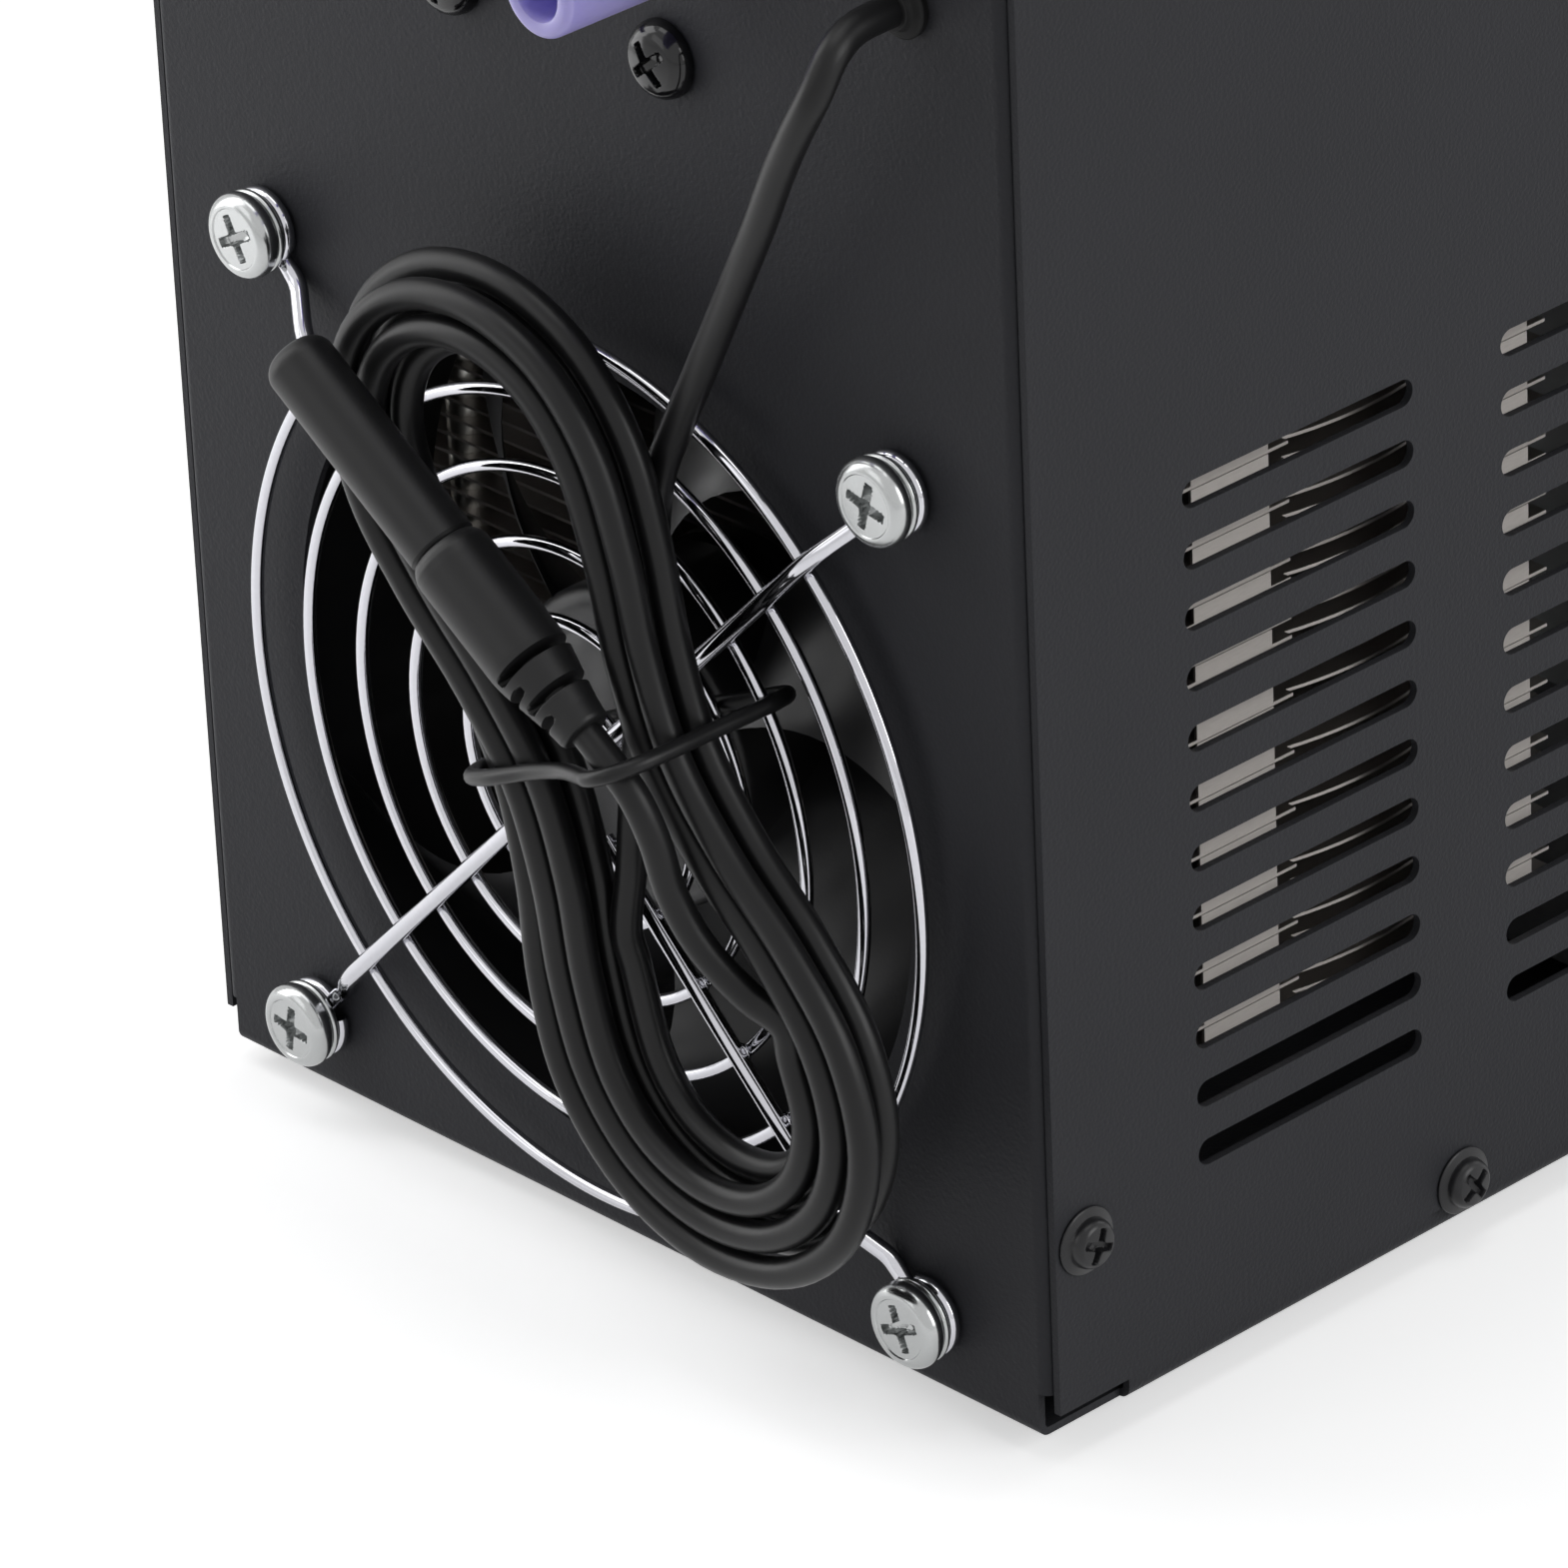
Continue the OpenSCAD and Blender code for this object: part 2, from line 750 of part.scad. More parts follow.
module fan_shaft() {
    color([0.8, 0.8, 0.82])
    rod_y(0, fan_z, fan_back_y + motor_base_t / 2 + slip, fan_y - hub_recess - hub_top_t / 2 - fit, shaft_d);
}

module fan_bearings() {
    y0 = fan_back_y + motor_base_t / 2 + slip;
    color([0.7, 0.7, 0.72])
    for (y = [y0, fan_back_y + motor_base_t + tube_len - bearing_t])
        difference() {
            rod_y(0, fan_z, y, y + bearing_t, bearing_d);
            rod_y(0, fan_z, y - over, y + bearing_t + over, shaft_d + 2 * shaft_gap);
        }
}

module fan_stator() {
    y0 = fan_back_y + motor_base_t + board_t + 2 * slip;
    hole = bearing_d + 2 * tube_wall + 2 * fit;
    color([0.72, 0.42, 0.2])
    difference() {
        union() {
            rod_y(0, fan_z, y0, y0 + stator_t, stator_core_d);
            intersection() {
                rod_y(0, fan_z, y0, y0 + stator_t, stator_d);
                translate([0, y0 + stator_t / 2, fan_z]) {
                    cube([stator_d, stator_t, stator_pole_w], center = true);
                    cube([stator_pole_w, stator_t, stator_d], center = true);
                }
            }
        }
        rod_y(0, fan_z, y0 - over, y0 + stator_t + over, hole);
    }
}

module fan_board() {
    y0 = fan_back_y + motor_base_t;
    color([0.1, 0.35, 0.16])
    difference() {
        rod_y(0, fan_z, y0, y0 + board_t, stator_d);
        rod_y(0, fan_z, y0 - over, y0 + board_t + over, bearing_d + 2 * tube_wall + 2 * fit);
    }
}

// Guard

module wire(a, b, d) {
    v = b - a;
    translate(a)
        rotate([0, acos(v[2] / norm(v)), atan2(v[1], v[0])])
            cylinder(h = norm(v), d = d);
}

module fan_guard() {
    eye = fan_hole_pitch / sqrt(2);
    foot_r = eye - guard_head_d / 2 - rib_wire;
    color([0.82, 0.82, 0.84])
    translate([0, rear_y, fan_z]) {
        for (a = [45, 135])
            rotate([0, a, 0])
                wire([-rib_end_r, rib_off, 0], [rib_end_r, rib_off, 0], rib_wire);
        for (a = [45, 135, 225, 315])
            rotate([0, a, 0]) {
                wire([rib_bend_r, rib_off, 0], [foot_r, rib_wire / 2, 0], leg_wire);
                wire([foot_r, rib_wire / 2, 0], [eye - guard_eye_r, rib_wire / 2, 0], foot_wire);
                translate([eye, rib_wire / 2, 0])
                    rotate([90, 0, 0])
                        rotate_extrude() translate([guard_eye_r, 0]) circle(d = eye_wire);
            }
    }
}

module guard_rings() {
    color([0.82, 0.82, 0.84])
    for (i = [0 : ring_count - 1])
        translate([0, rear_y + ring_off, fan_z])
            rotate([90, 0, 0])
                rotate_extrude()
                    translate([ring_first_r + i * ring_pitch, 0]) circle(d = ring_wire);
}

module guard_screws() {
    color([0.78, 0.78, 0.76])
    for (x = [-1, 1], z = [-1, 1])
        translate([x * fan_hole_pitch / 2, rear_y + rib_wire, fan_z + z * fan_hole_pitch / 2])
            rotate([-90, 35 * x * z, 0])
                screw(guard_head_d, guard_head_h, guard_shank_d, rib_wire + guard_shank_l, guard_head_edge);
}

// Cooler

function pipe_x(i) = (i == 0 || i == pipe_count - 1) ? pipe_out_x : pipe_in_x;
function pipe_y(i) = fin_y + (i - (pipe_count - 1) / 2) * pipe_pitch_y;

module fin_outline() {
    corner = fin_edge + fin_tab_len + fin_step_len;
    chord = fin_len - 2 * corner;
    bulge_r = (chord * chord / 4 + fin_bulge * fin_bulge) / (2 * fin_bulge);
    square([fin_w - 2 * fin_step, fin_len], center = true);
    for (e = [-1, 1]) {
        translate([0, e * (fin_len - corner) / 2]) square([fin_w, corner], center = true);
        intersection() {
            translate([e * (fin_w / 2 - fin_step + fin_bulge - bulge_r), 0]) circle(bulge_r, $fn = 96);
            translate([e * fin_w / 2, 0]) square([4 * fin_step, chord], center = true);
        }
    }
}

module fin() {
    linear_extrude(fin_t)
        difference() {
            fin_outline();
            for (i = [0 : pipe_count - 1], e = [-1, 1])
                translate([e * pipe_x(i), pipe_y(i) - fin_y]) circle(d = pipe_d + 2 * fit);
        }
    tab_y = fin_len / 2 - fin_edge - fin_tab_len / 2;
    tab_h = fin_pitch - fin_tab_gap;
    for (s = [-1, 1], e = [-1, 1])
        translate([s * (fin_w - fin_t) / 2, e * tab_y, tab_h / 2])
            cube([fin_t, fin_tab_len, tab_h], center = true);
}

module fin_stack() {
    color([0.72, 0.71, 0.7])
    for (i = [0 : fin_count - 1])
        translate([0, fin_y, fin_z + i * fin_pitch]) fin();
}

module heat_pipes() {
    color([0.75, 0.48, 0.32])
    for (i = [0 : pipe_count - 1]) {
        x = pipe_x(i);
        translate([0, pipe_y(i), 0]) {
            for (e = [-1, 1]) {
                translate([e * x, 0, fin_z - pipe_tip + pipe_d / 2]) {
                    sphere(d = pipe_d);
                    cylinder(h = pipe_z - pipe_bend_r - fin_z + pipe_tip - pipe_d / 2, d = pipe_d);
                }
                translate([e * (x - pipe_bend_r), 0, pipe_z - pipe_bend_r])
                    rotate([90, 0, e > 0 ? 0 : 180])
                        rotate_extrude(angle = 90) translate([pipe_bend_r, 0]) circle(d = pipe_d);
            }
            translate([-x + pipe_bend_r, 0, pipe_z])
                rotate([0, 90, 0]) cylinder(h = 2 * (x - pipe_bend_r), d = pipe_d);
        }
    }
}

module base_plate() {
    bore = pipe_d + 2 * fit;
    color([0.78, 0.78, 0.8])
    difference() {
        block(about(0, base_w), about(fin_y, base_l), [base_low_z, base_top_z]);
        for (i = [0 : pipe_count - 1])
            translate([-base_w, pipe_y(i), pipe_z]) rotate([0, 90, 0]) cylinder(h = 2 * base_w, d = bore);
        for (s = [-1, 1]) {
            translate([s * clamp_x, fin_y, base_top_z - clamp_in - slip])
                cylinder(h = clamp_in + over, d = clamp_d + 2 * fit);
            translate([s * shelf_x, inner_rear_y - shelf_y, base_low_z - over])
                cylinder(h = over + shelf_in + slip, d = shelf_screw_d + 2 * fit);
        }
        // Grooves for the pipes' bends, open below and at the plate's ends
        for (i = [0 : pipe_count - 1], e = [0, 180])
            translate([0, pipe_y(i), pipe_z])
                rotate([0, 0, e])
                    translate([pipe_x(i) - pipe_bend_r, -bore / 2, -base_t])
                        cube([base_w, bore, base_t + bore / 2]);
    }
}

module cooling_module() {
    color([0.93, 0.93, 0.9])
    block(about(0, module_w), about(block_y, module_w), [base_top_z, block_z]);
}

// Water side

module lid_screw_places() {
    for (x = [-1, 0, 1], y = [-1, 1])
        translate([x * (block_w - block_wall) / 2, block_y + y * (block_l - block_wall) / 2, lid_z + lid_t])
            children();
}

module water_block() {
    pocket_w = block_w - 2 * block_wall;
    pocket_l = block_l - 2 * block_wall;
    color([0.74, 0.75, 0.78])
    difference() {
        block(about(0, block_w), about(block_y, block_l), [block_z, block_z + block_t]);
        difference() {
            block(about(0, pocket_w), about(block_y, pocket_l),
                [block_z + block_floor, block_z + block_t + over]);
            // Ribs that lead the water from side to side
            for (i = [1 : rib_count])
                translate([(i % 2 == 0 ? -1 : 1) * block_wall - pocket_w / 2,
                    block_y - pocket_l / 2 + i * pocket_l / (rib_count + 1) - rib_t / 2, block_z])
                    cube([pocket_w, rib_t, block_t]);
        }
        for (s = [-1, 1]) {
            rod_y(s * stub_x, base_z + stub_z, block_rear_y - port_depth, block_rear_y + over, port_d);
            rod_y(s * stub_x, base_z + stub_z, block_rear_y - block_wall - over, block_rear_y, stub_bore);
        }
        lid_screw_places()
            translate([0, 0, -lid_shank_l - slip]) cylinder(h = lid_shank_l + over, d = lid_hole_d);
    }
}

module block_plate(z, t) {
    difference() {
        block(about(0, block_w), about(block_y, block_l), [z, z + t]);
        lid_screw_places() translate([0, 0, -lid_shank_l]) cylinder(h = 2 * lid_shank_l, d = lid_hole_d);
    }
}

module block_gasket() {
    color([0.1, 0.1, 0.1])
    difference() {
        block_plate(gasket_z, gasket_t);
        block(about(0, block_w - 2 * block_wall), about(block_y, block_l - 2 * block_wall),
            [gasket_z - over, gasket_z + gasket_t + over]);
    }
}

module block_lid() {
    color([0.8, 0.81, 0.84]) block_plate(lid_z, lid_t);
}

module lid_screws() {
    color([0.7, 0.7, 0.7])
    lid_screw_places() screw(lid_head_d, lid_head_h, lid_screw_d, lid_shank_l, fuse);
}

module clamp_bar() {
    color([0.6, 0.6, 0.62])
    difference() {
        block(about(0, base_w), about(block_y, bar_l), [lid_z + lid_t, lid_z + lid_t + bar_t]);
        for (s = [-1, 1])
            translate([s * clamp_x, block_y, lid_z]) cylinder(h = 2 * (lid_t + bar_t), d = clamp_d + 2 * fit);
    }
}

module clamp_screws() {
    seat = lid_z + lid_t + bar_t;
    color([0.65, 0.65, 0.67])
    for (s = [-1, 1])
        translate([s * clamp_x, block_y, seat])
            screw(clamp_head_d, clamp_head_h, clamp_d, seat - base_top_z + clamp_in, screw_edge);
}

module sink_bracket() {
    color([0.6, 0.6, 0.62])
    difference() {
        union() {
            block(about(0, bracket_w), [inner_rear_y - bracket_t, inner_rear_y],
                [base_low_z - bracket_t, base_low_z - bracket_t + bracket_h]);
            block(about(0, bracket_w), [inner_rear_y - bracket_reach, inner_rear_y],
                [base_low_z - bracket_t, base_low_z]);
        }
        for (s = [-1, 1]) {
            rod_y(s * bracket_x, bracket_screw_z, inner_rear_y - 2 * bracket_t, rear_y, bracket_hole_d);
            translate([s * shelf_x, inner_rear_y - shelf_y, base_low_z - 2 * bracket_t])
                cylinder(h = 4 * bracket_t, d = shelf_screw_d + 2 * fit);
        }
    }
}

module bracket_screws() {
    color([0.03, 0.03, 0.035])
    for (s = [-1, 1])
        translate([s * bracket_x, rear_y, bracket_screw_z])
            rotate([-90, 20 * s, 0])
                screw(bracket_head_d, bracket_head_h, bracket_screw_d, bracket_shank_l, bracket_head_h / 2);
}

module bracket_nuts() {
    color([0.7, 0.7, 0.68])
    for (s = [-1, 1])
        translate([s * bracket_x, inner_rear_y - bracket_t - bracket_nut_t, bracket_screw_z])
            rotate([-90, 0, 0])
                difference() {
                    cylinder(h = bracket_nut_t, d = bracket_nut_w / cos(30), $fn = 6);
                    translate([0, 0, -over]) cylinder(h = bracket_nut_t + 2 * over, d = bracket_hole_d);
                }
}

module shelf_screws() {
    color([0.7, 0.7, 0.7])
    for (s = [-1, 1])
        translate([s * shelf_x, inner_rear_y - shelf_y, base_low_z - bracket_t])
            rotate([180, 0, 0])
                screw(shelf_head_d, shelf_head_h, shelf_screw_d, bracket_t + shelf_in, screw_edge);
}

module stub(s) {
    root_y = block_rear_y - port_depth;
    difference() {
        union() {
            rod_y(s * stub_x, base_z + stub_z, root_y + slip, rear_y + slip + over, stub_root_d);
            rod_y(s * stub_x, base_z + stub_z, rear_y + slip, rear_y + stub_out, stub_d);
        }
        rod_y(s * stub_x, base_z + stub_z, root_y - over, rear_y + stub_out + over, stub_bore);
    }
}

module inlet_stub() {
    stub(-1);
}

module outlet_stub() {
    stub(1);
}

module port_seals() {
    color([0.08, 0.08, 0.08])
    for (s = [-1, 1])
        difference() {
            rod_y(s * stub_x, base_z + stub_z, block_rear_y, block_rear_y + seal_t, seal_d);
            rod_y(s * stub_x, base_z + stub_z, block_rear_y - over, block_rear_y + seal_t + over, port_d);
        }
}

module port_nuts() {
    color([0.85, 0.85, 0.83])
    for (s = [-1, 1])
        translate([s * stub_x, block_rear_y + seal_t, base_z + stub_z])
            rotate([-90, 0, 0])
                difference() {
                    cylinder(h = nut_t, d = nut_w, $fn = 6);
                    translate([0, 0, -over]) cylinder(h = nut_t + 2 * over, d = port_d);
                }
}

// Power supply

module power_supply() {
    color([0.7, 0.71, 0.72])
    translate([0, supply_y, supply_z])
        linear_extrude(supply_h) rounded(supply_w, supply_l, supply_r);
}

module supply_terminals() {
    slot = (terminal_w - terminal_wall) / terminal_count - terminal_wall;
    y0 = supply_y + supply_l / 2;
    color([0.07, 0.07, 0.07])
    difference() {
        block(about(0, terminal_w), [y0, y0 + terminal_l], [supply_z, supply_z + terminal_h]);
        for (i = [0 : terminal_count - 1])
            translate([terminal_wall - terminal_w / 2 + i * (slot + terminal_wall), y0 + terminal_wall,
                supply_z + terminal_h / 2])
                cube([slot, terminal_l, terminal_h]);
    }
}

module supply_standoffs() {
    color([0.8, 0.75, 0.5])
    for (x = [-1, 1], y = [-1, 1])
        translate([x * (supply_w / 2 - stand_inset), supply_y + y * (supply_l / 2 - stand_inset), inner_z])
            cylinder(h = supply_stand, d = stand_d);
}

// Controls

module control_board() {
    color([0.09, 0.3, 0.16])
    block(about(0, board_w), [board_y, board_y + board_t], about(board_z, board_h));
}

module board_standoffs() {
    color([0.8, 0.75, 0.5])
    for (x = [-1, 1], z = [-1, 1])
        rod_y(x * (board_w / 2 - board_pin_inset), board_z + z * (board_h / 2 - board_pin_inset),
            inner_front_y, board_y, board_pin_d);
}

module display_module() {
    color([0.12, 0.12, 0.12])
    translate([0, board_y - digit_t / 2, base_z + window_z]) cube([digit_w, digit_t, digit_h], center = true);
}

module key_switches() {
    color([0.2, 0.2, 0.2])
    for (i = [-1, 0, 1]) {
        translate([i * button_pitch, board_y - key_t / 2, button_z])
            cube([key_w, key_t, key_w], center = true);
        rod_y(i * button_pitch, button_z, key_face_y, board_y - key_t, key_pin_d);
    }
}

module relays() {
    color([0.1, 0.25, 0.55])
    for (i = [0 : relay_count - 1])
        translate([(i - (relay_count - 1) / 2) * relay_x, board_y + board_t + relay_t / 2, board_z])
            cube([relay_w, relay_t, relay_h], center = true);
}

module display_bezel() {
    color([0.05, 0.05, 0.055])
    translate([0, front_y, base_z + window_z])
        rotate([90, 0, 0])
            linear_extrude(bezel_t)
                difference() {
                    rounded(window_w + 2 * bezel_edge, window_h + 2 * bezel_edge, bezel_r);
                    square([window_w + 2 * fit, window_h + 2 * fit], center = true);
                }
}

module display_window() {
    color([0.12, 0.02, 0.03, 0.8])
    translate([0, front_y - bezel_t / 2 + window_t / 2, base_z + window_z])
        cube([window_w, window_t, window_h], center = true);
}

module button(i) {
    stem_end = key_face_y - button_travel - fit * 2;
    color([0.14, 0.14, 0.15])
    translate([i * button_pitch, 0, button_z]) {
        translate([0, front_y - button_out, 0])
            rotate([-90, 0, 0])
                rotate_extrude() {
                    translate([0, button_edge])
                        square([button_d / 2, button_out + sheet_t - button_edge + 2 * fit]);
                    square([button_d / 2 - button_edge, button_edge + fuse]);
                    translate([button_d / 2 - button_edge, button_edge]) circle(button_edge);
                }
        rod_y(0, 0, inner_front_y + fit, inner_front_y + fit + button_flange_t, button_flange_d);
        rod_y(0, 0, inner_front_y, stem_end, button_stem_d);
    }
}

module set_button() {
    button(-1);
}

module up_button() {
    button(0);
}

module down_button() {
    button(1);
}

// Power inlet and switch

module power_inlet() {
    color([0.05, 0.05, 0.055])
    translate([inlet_x, rear_y, base_z + inlet_z])
        rotate([90, 0, 0])
            difference() {
                union() {
                    translate([0, 0, -inlet_lip])
                        linear_extrude(inlet_lip) rounded(inlet_w, inlet_h, inlet_r);
                    translate([0, 0, -fuse])
                        linear_extrude(inlet_depth + fuse)
                            square([inlet_body_w, inlet_body_h], center = true);
                }
                translate([0, 0, -inlet_lip - over])
                    linear_extrude(socket_depth + inlet_lip + over) rounded(socket_w, socket_h, inlet_r);
            }
}

module inlet_pins() {
    root_y = rear_y - socket_depth;
    color([0.8, 0.78, 0.6])
    for (i = [-1, 0, 1])
        translate([inlet_x + i * pin_spread, root_y + pin_len / 2,
            base_z + inlet_z + (i == 0 ? pin_off : -pin_off) / 2])
            cube([pin_w, pin_len, pin_h], center = true);
}

// Places round the switch's pivot, which runs along Z behind the panel
switch_pivot_y = rear_y + switch_lip - rocker_drop;

module switch_frame() {
    color([0.05, 0.05, 0.055])
    difference() {
        translate([switch_x, rear_y, base_z + switch_z])
            rotate([90, 0, 0]) {
                translate([0, 0, -switch_lip])
                    linear_extrude(switch_lip) rounded(switch_w, switch_h, switch_lip / 2);
                translate([0, 0, -fuse])
                    linear_extrude(switch_depth + fuse) square([switch_body_w, switch_body_h], center = true);
            }
        translate([switch_x, switch_pivot_y, base_z + switch_z])
            cylinder(h = rocker_w + 2 * rocker_gap, r = rocker_half + rocker_gap + fuse, center = true);
        translate([switch_x, switch_pivot_y, base_z + switch_z])
            cylinder(h = rocker_pin_l + 2 * fuse, d = rocker_pin_d + 2 * rocker_pin_gap, center = true);
    }
}

module rocker() {
    rise = rocker_half * tan(rocker_tilt);
    color([0.1, 0.1, 0.1])
    translate([switch_x, switch_pivot_y, base_z + switch_z])
        rotate([0, 0, rocker_tilt]) {
            linear_extrude(rocker_w, center = true)
                intersection() {
                    circle(rocker_half);
                    polygon([[-rocker_half, -rocker_low], [rocker_half, -rocker_low],
                        [rocker_half, rocker_face + rise], [0, rocker_face],
                        [-rocker_half, rocker_face + rise]]);
                }
            cylinder(h = rocker_pin_l, d = rocker_pin_d, center = true);
        }
}

// Cord and probe

function unit(v) = v / norm(v);
function along(p) = [for (i = [0 : len(p) - 1])
    i == 0 ? unit(p[1] - p[0]) :
    i == len(p) - 1 ? unit(p[i] - p[i - 1]) :
    unit(unit(p[i + 1] - p[i]) + unit(p[i] - p[i - 1]))];
function flat_to(n, t) = unit(n - (n * t) * t);

// A tube of n sides through the points p
module tube(p, d, n, first) {
    t = along(p);
    side = [for (i = 0, v = flat_to(first, t[0]); i < len(p);
        i = i + 1, v = i < len(p) ? flat_to(v, t[i]) : v) v];
    rings = [for (i = [0 : len(p) - 1], k = [0 : n - 1])
        p[i] + d / 2 * (cos(360 * k / n) * side[i] + sin(360 * k / n) * cross(t[i], side[i]))];
    last = (len(p) - 1) * n;
    walls = [for (i = [0 : len(p) - 2], k = [0 : n - 1], h = [0, 1])
        let (a = i * n + k, b = i * n + (k + 1) % n)
        h == 0 ? [a, a + n, b] : [b, a + n, b + n]];
    ends = [for (k = [1 : n - 2], h = [0, 1]) h == 0 ? [0, k, k + 1] : [last, last + k + 1, last + k]];
    polyhedron(rings, concat(walls, ends));
}

// A place given as x, distance off the rear panel and height above the case bottom
function place(q) = [q[0], rear_y + q[1], base_z + q[2]];

// Hank: u runs up along the hank, v across it, off is the distance from the panel
function hank_place(u, v, off) = place([
    hank_x + u * sin(hank_lean) + (v + hank_shear * u) * cos(hank_lean), off,
    hank_z + u * cos(hank_lean) - (v + hank_shear * u) * sin(hank_lean)]);
function drawn(q, r, grow) = hank_waist + grow + (r - hank_waist - grow) * (1 - cos(180 * q)) / 2;
function hank_uv(f, grow) =
    let (top_r = hank_top_r + grow, low_r = hank_low_r + grow,
        top_u = hank_top_a - hank_top_r, low_u = hank_low_a - hank_low_r)
    f < 1 / 8 ? [-low_u * f * 8, drawn(f * 8, low_r, grow)] :
    f < 3 / 8 ? let (a = (f - 1 / 8) * 720) [-low_u - low_r * sin(a), low_r * cos(a)] :
    f < 1 / 2 ? let (q = 1 - (f - 3 / 8) * 8) [-low_u * q, -drawn(q, low_r, grow)] :
    f < 5 / 8 ? let (q = (f - 1 / 2) * 8) [top_u * q, -drawn(q, top_r, grow)] :
    f < 7 / 8 ? let (a = (f - 5 / 8) * 720) [top_u + top_r * sin(a), -top_r * cos(a)] :
    let (q = 1 - (f - 7 / 8) * 8) [top_u * q, drawn(q, top_r, grow)];
function smooth(x) = let (c = min(1, max(0, x))) c * c * (3 - 2 * c);
function hank_point(s) =
    let (grow = cord_pitch * (s < hank_turn_at ? s : 2 * hank_turn_at - s),
        uv = hank_uv(s - floor(s), grow),
        layer = smooth((s - hank_turn_at) * 4 + 1 / 2))
    hank_place(uv[0], uv[1], hank_off + layer * cord_pitch);
hank_route = [for (k = [hank_first : round(hank_end * hank_steps)]) hank_point(k / hank_steps)];
hank_last = len(hank_route) - 1;
hank_in = unit(hank_route[1] - hank_route[0]);
hank_out = unit(hank_route[hank_last] - hank_route[hank_last - 1]);

// Least distance between runs of the hank, less the cord, on the route's points
hank_gap = min([for (i = [0 : hank_last - 8], j = [i + 8 : hank_last])
    norm(hank_route[i] - hank_route[j])]) - cord_d;
hank_length = ([for (i = 1, s = norm(hank_route[1] - hank_route[0]); i <= hank_last;
    i = i + 1, s = i <= hank_last ? s + norm(hank_route[i] - hank_route[i - 1]) : s) s])[hank_last - 1];
echo(hank_gap = hank_gap, hank_length = hank_length);

probe_axis = [cos(probe_turn), 0, sin(probe_turn)];
boot_end = place([probe_x, probe_off, probe_z]);
bush_face = place([bush_x, bush_nose, bush_z]);
lead_route = concat([bush_face], [for (q = lead_points) place(q)],
    [hank_route[0] - cord_d * hank_in, hank_route[0]]);
tail_route = concat([hank_route[hank_last], hank_route[hank_last] + cord_d * hank_out],
    [for (q = tail_points) hank_place(q[0], q[1] - hank_shear * q[0], q[2])],
    [boot_end - cord_d * probe_axis, boot_end]);

module cord_bush() {
    color([0.03, 0.03, 0.03])
    translate([bush_x, rear_y, base_z + bush_z])
        rotate([-90, 0, 0]) {
            cylinder(h = bush_flange_t, d = bush_d);
            cylinder(h = bush_nose, d1 = bush_d - bush_flange_t, d2 = cord_d + bush_flange_t);
            translate([0, 0, -sheet_t - bush_back]) cylinder(h = sheet_t + bush_back + fuse, d = bush_neck_d);
        }
}

module cord_lead() {
    color([0.08, 0.08, 0.085]) tube(lead_route, cord_d, cord_sides, [1, 0, 0]);
}

module cord_hank() {
    color([0.08, 0.08, 0.085]) tube(hank_route, cord_d, hank_sides, [0, 1, 0]);
}

module cord_tail() {
    color([0.08, 0.08, 0.085]) tube(tail_route, cord_d, cord_sides, [0, 1, 0]);
}

module on_probe(from) {
    translate(boot_end + from * probe_axis)
        rotate([0, 90 - probe_turn, 0]) children();
}

module probe_boot() {
    head = boot_len * boot_head_share;
    color([0.1, 0.1, 0.105])
    on_probe(0)
        difference() {
            rotate_extrude()
                polygon([[0, 0], [boot_tail_d / 2, 0], [boot_tail_d / 2, boot_cut_pitch],
                    [boot_d / 2 - over / 2, boot_len - head], [boot_d / 2, boot_len - head + over],
                    [boot_d / 2, boot_len - over / 2], [boot_d / 2 - over / 2, boot_len], [0, boot_len]]);
            for (i = [0 : boot_cut_count - 1], s = [-1, 1])
                translate([s * boot_d / 2 + (i % 2) * s * boot_cut_w, 0, boot_cut_start + i * boot_cut_pitch])
                    cube([boot_d / 2 + boot_cut_w, boot_d, boot_cut_w], center = true);
        }
}

module probe_sleeve() {
    color([0.11, 0.11, 0.115])
    on_probe(boot_len)
        rotate_extrude() {
            square([probe_d / 2, probe_len - probe_edge]);
            square([probe_d / 2 - probe_edge, probe_len]);
            translate([probe_d / 2 - probe_edge, probe_len - probe_edge]) circle(probe_edge);
        }
}

// The tie runs round the hank's waist and behind the guard's wires
tie_ring = [for (q = tie_points) hank_place(tie_u, q[0], q[1])];

module cord_tie() {
    n = tie_sides;
    m = len(tie_ring);
    up = [sin(hank_lean), 0, cos(hank_lean)];
    rings = [for (i = [0 : m - 1], k = [0 : n - 1])
        let (t = unit(tie_ring[(i + 1) % m] - tie_ring[(i + m - 1) % m]))
        tie_ring[i] + tie_d / 2 * (cos(360 * k / n) * up + sin(360 * k / n) * cross(t, up))];
    walls = [for (i = [0 : m - 1], k = [0 : n - 1], h = [0, 1])
        let (j = (k + 1) % n, a = i * n, c = ((i + 1) % m) * n)
        h == 0 ? [a + k, c + k, a + j] : [a + j, c + k, c + j]];
    color([0.05, 0.05, 0.05]) polyhedron(rings, walls);
}

chassis();
cover();
cover_screws();
feet();
fan_frame();
fan_impeller();
fan_magnet();
fan_shaft();
fan_bearings();
fan_stator();
fan_board();
fan_guard();
guard_rings();
guard_screws();
fin_stack();
heat_pipes();
base_plate();
cooling_module();
water_block();
block_gasket();
block_lid();
lid_screws();
clamp_bar();
clamp_screws();
sink_bracket();
bracket_screws();
bracket_nuts();
shelf_screws();
inlet_stub();
outlet_stub();
port_seals();
port_nuts();
power_supply();
supply_terminals();
supply_standoffs();
control_board();
board_standoffs();
display_module();
key_switches();
relays();
display_bezel();
display_window();
set_button();
up_button();
down_button();
power_inlet();
inlet_pins();
switch_frame();
rocker();
cord_bush();
cord_lead();
cord_hank();
cord_tail();
probe_boot();
probe_sleeve();
cord_tie();
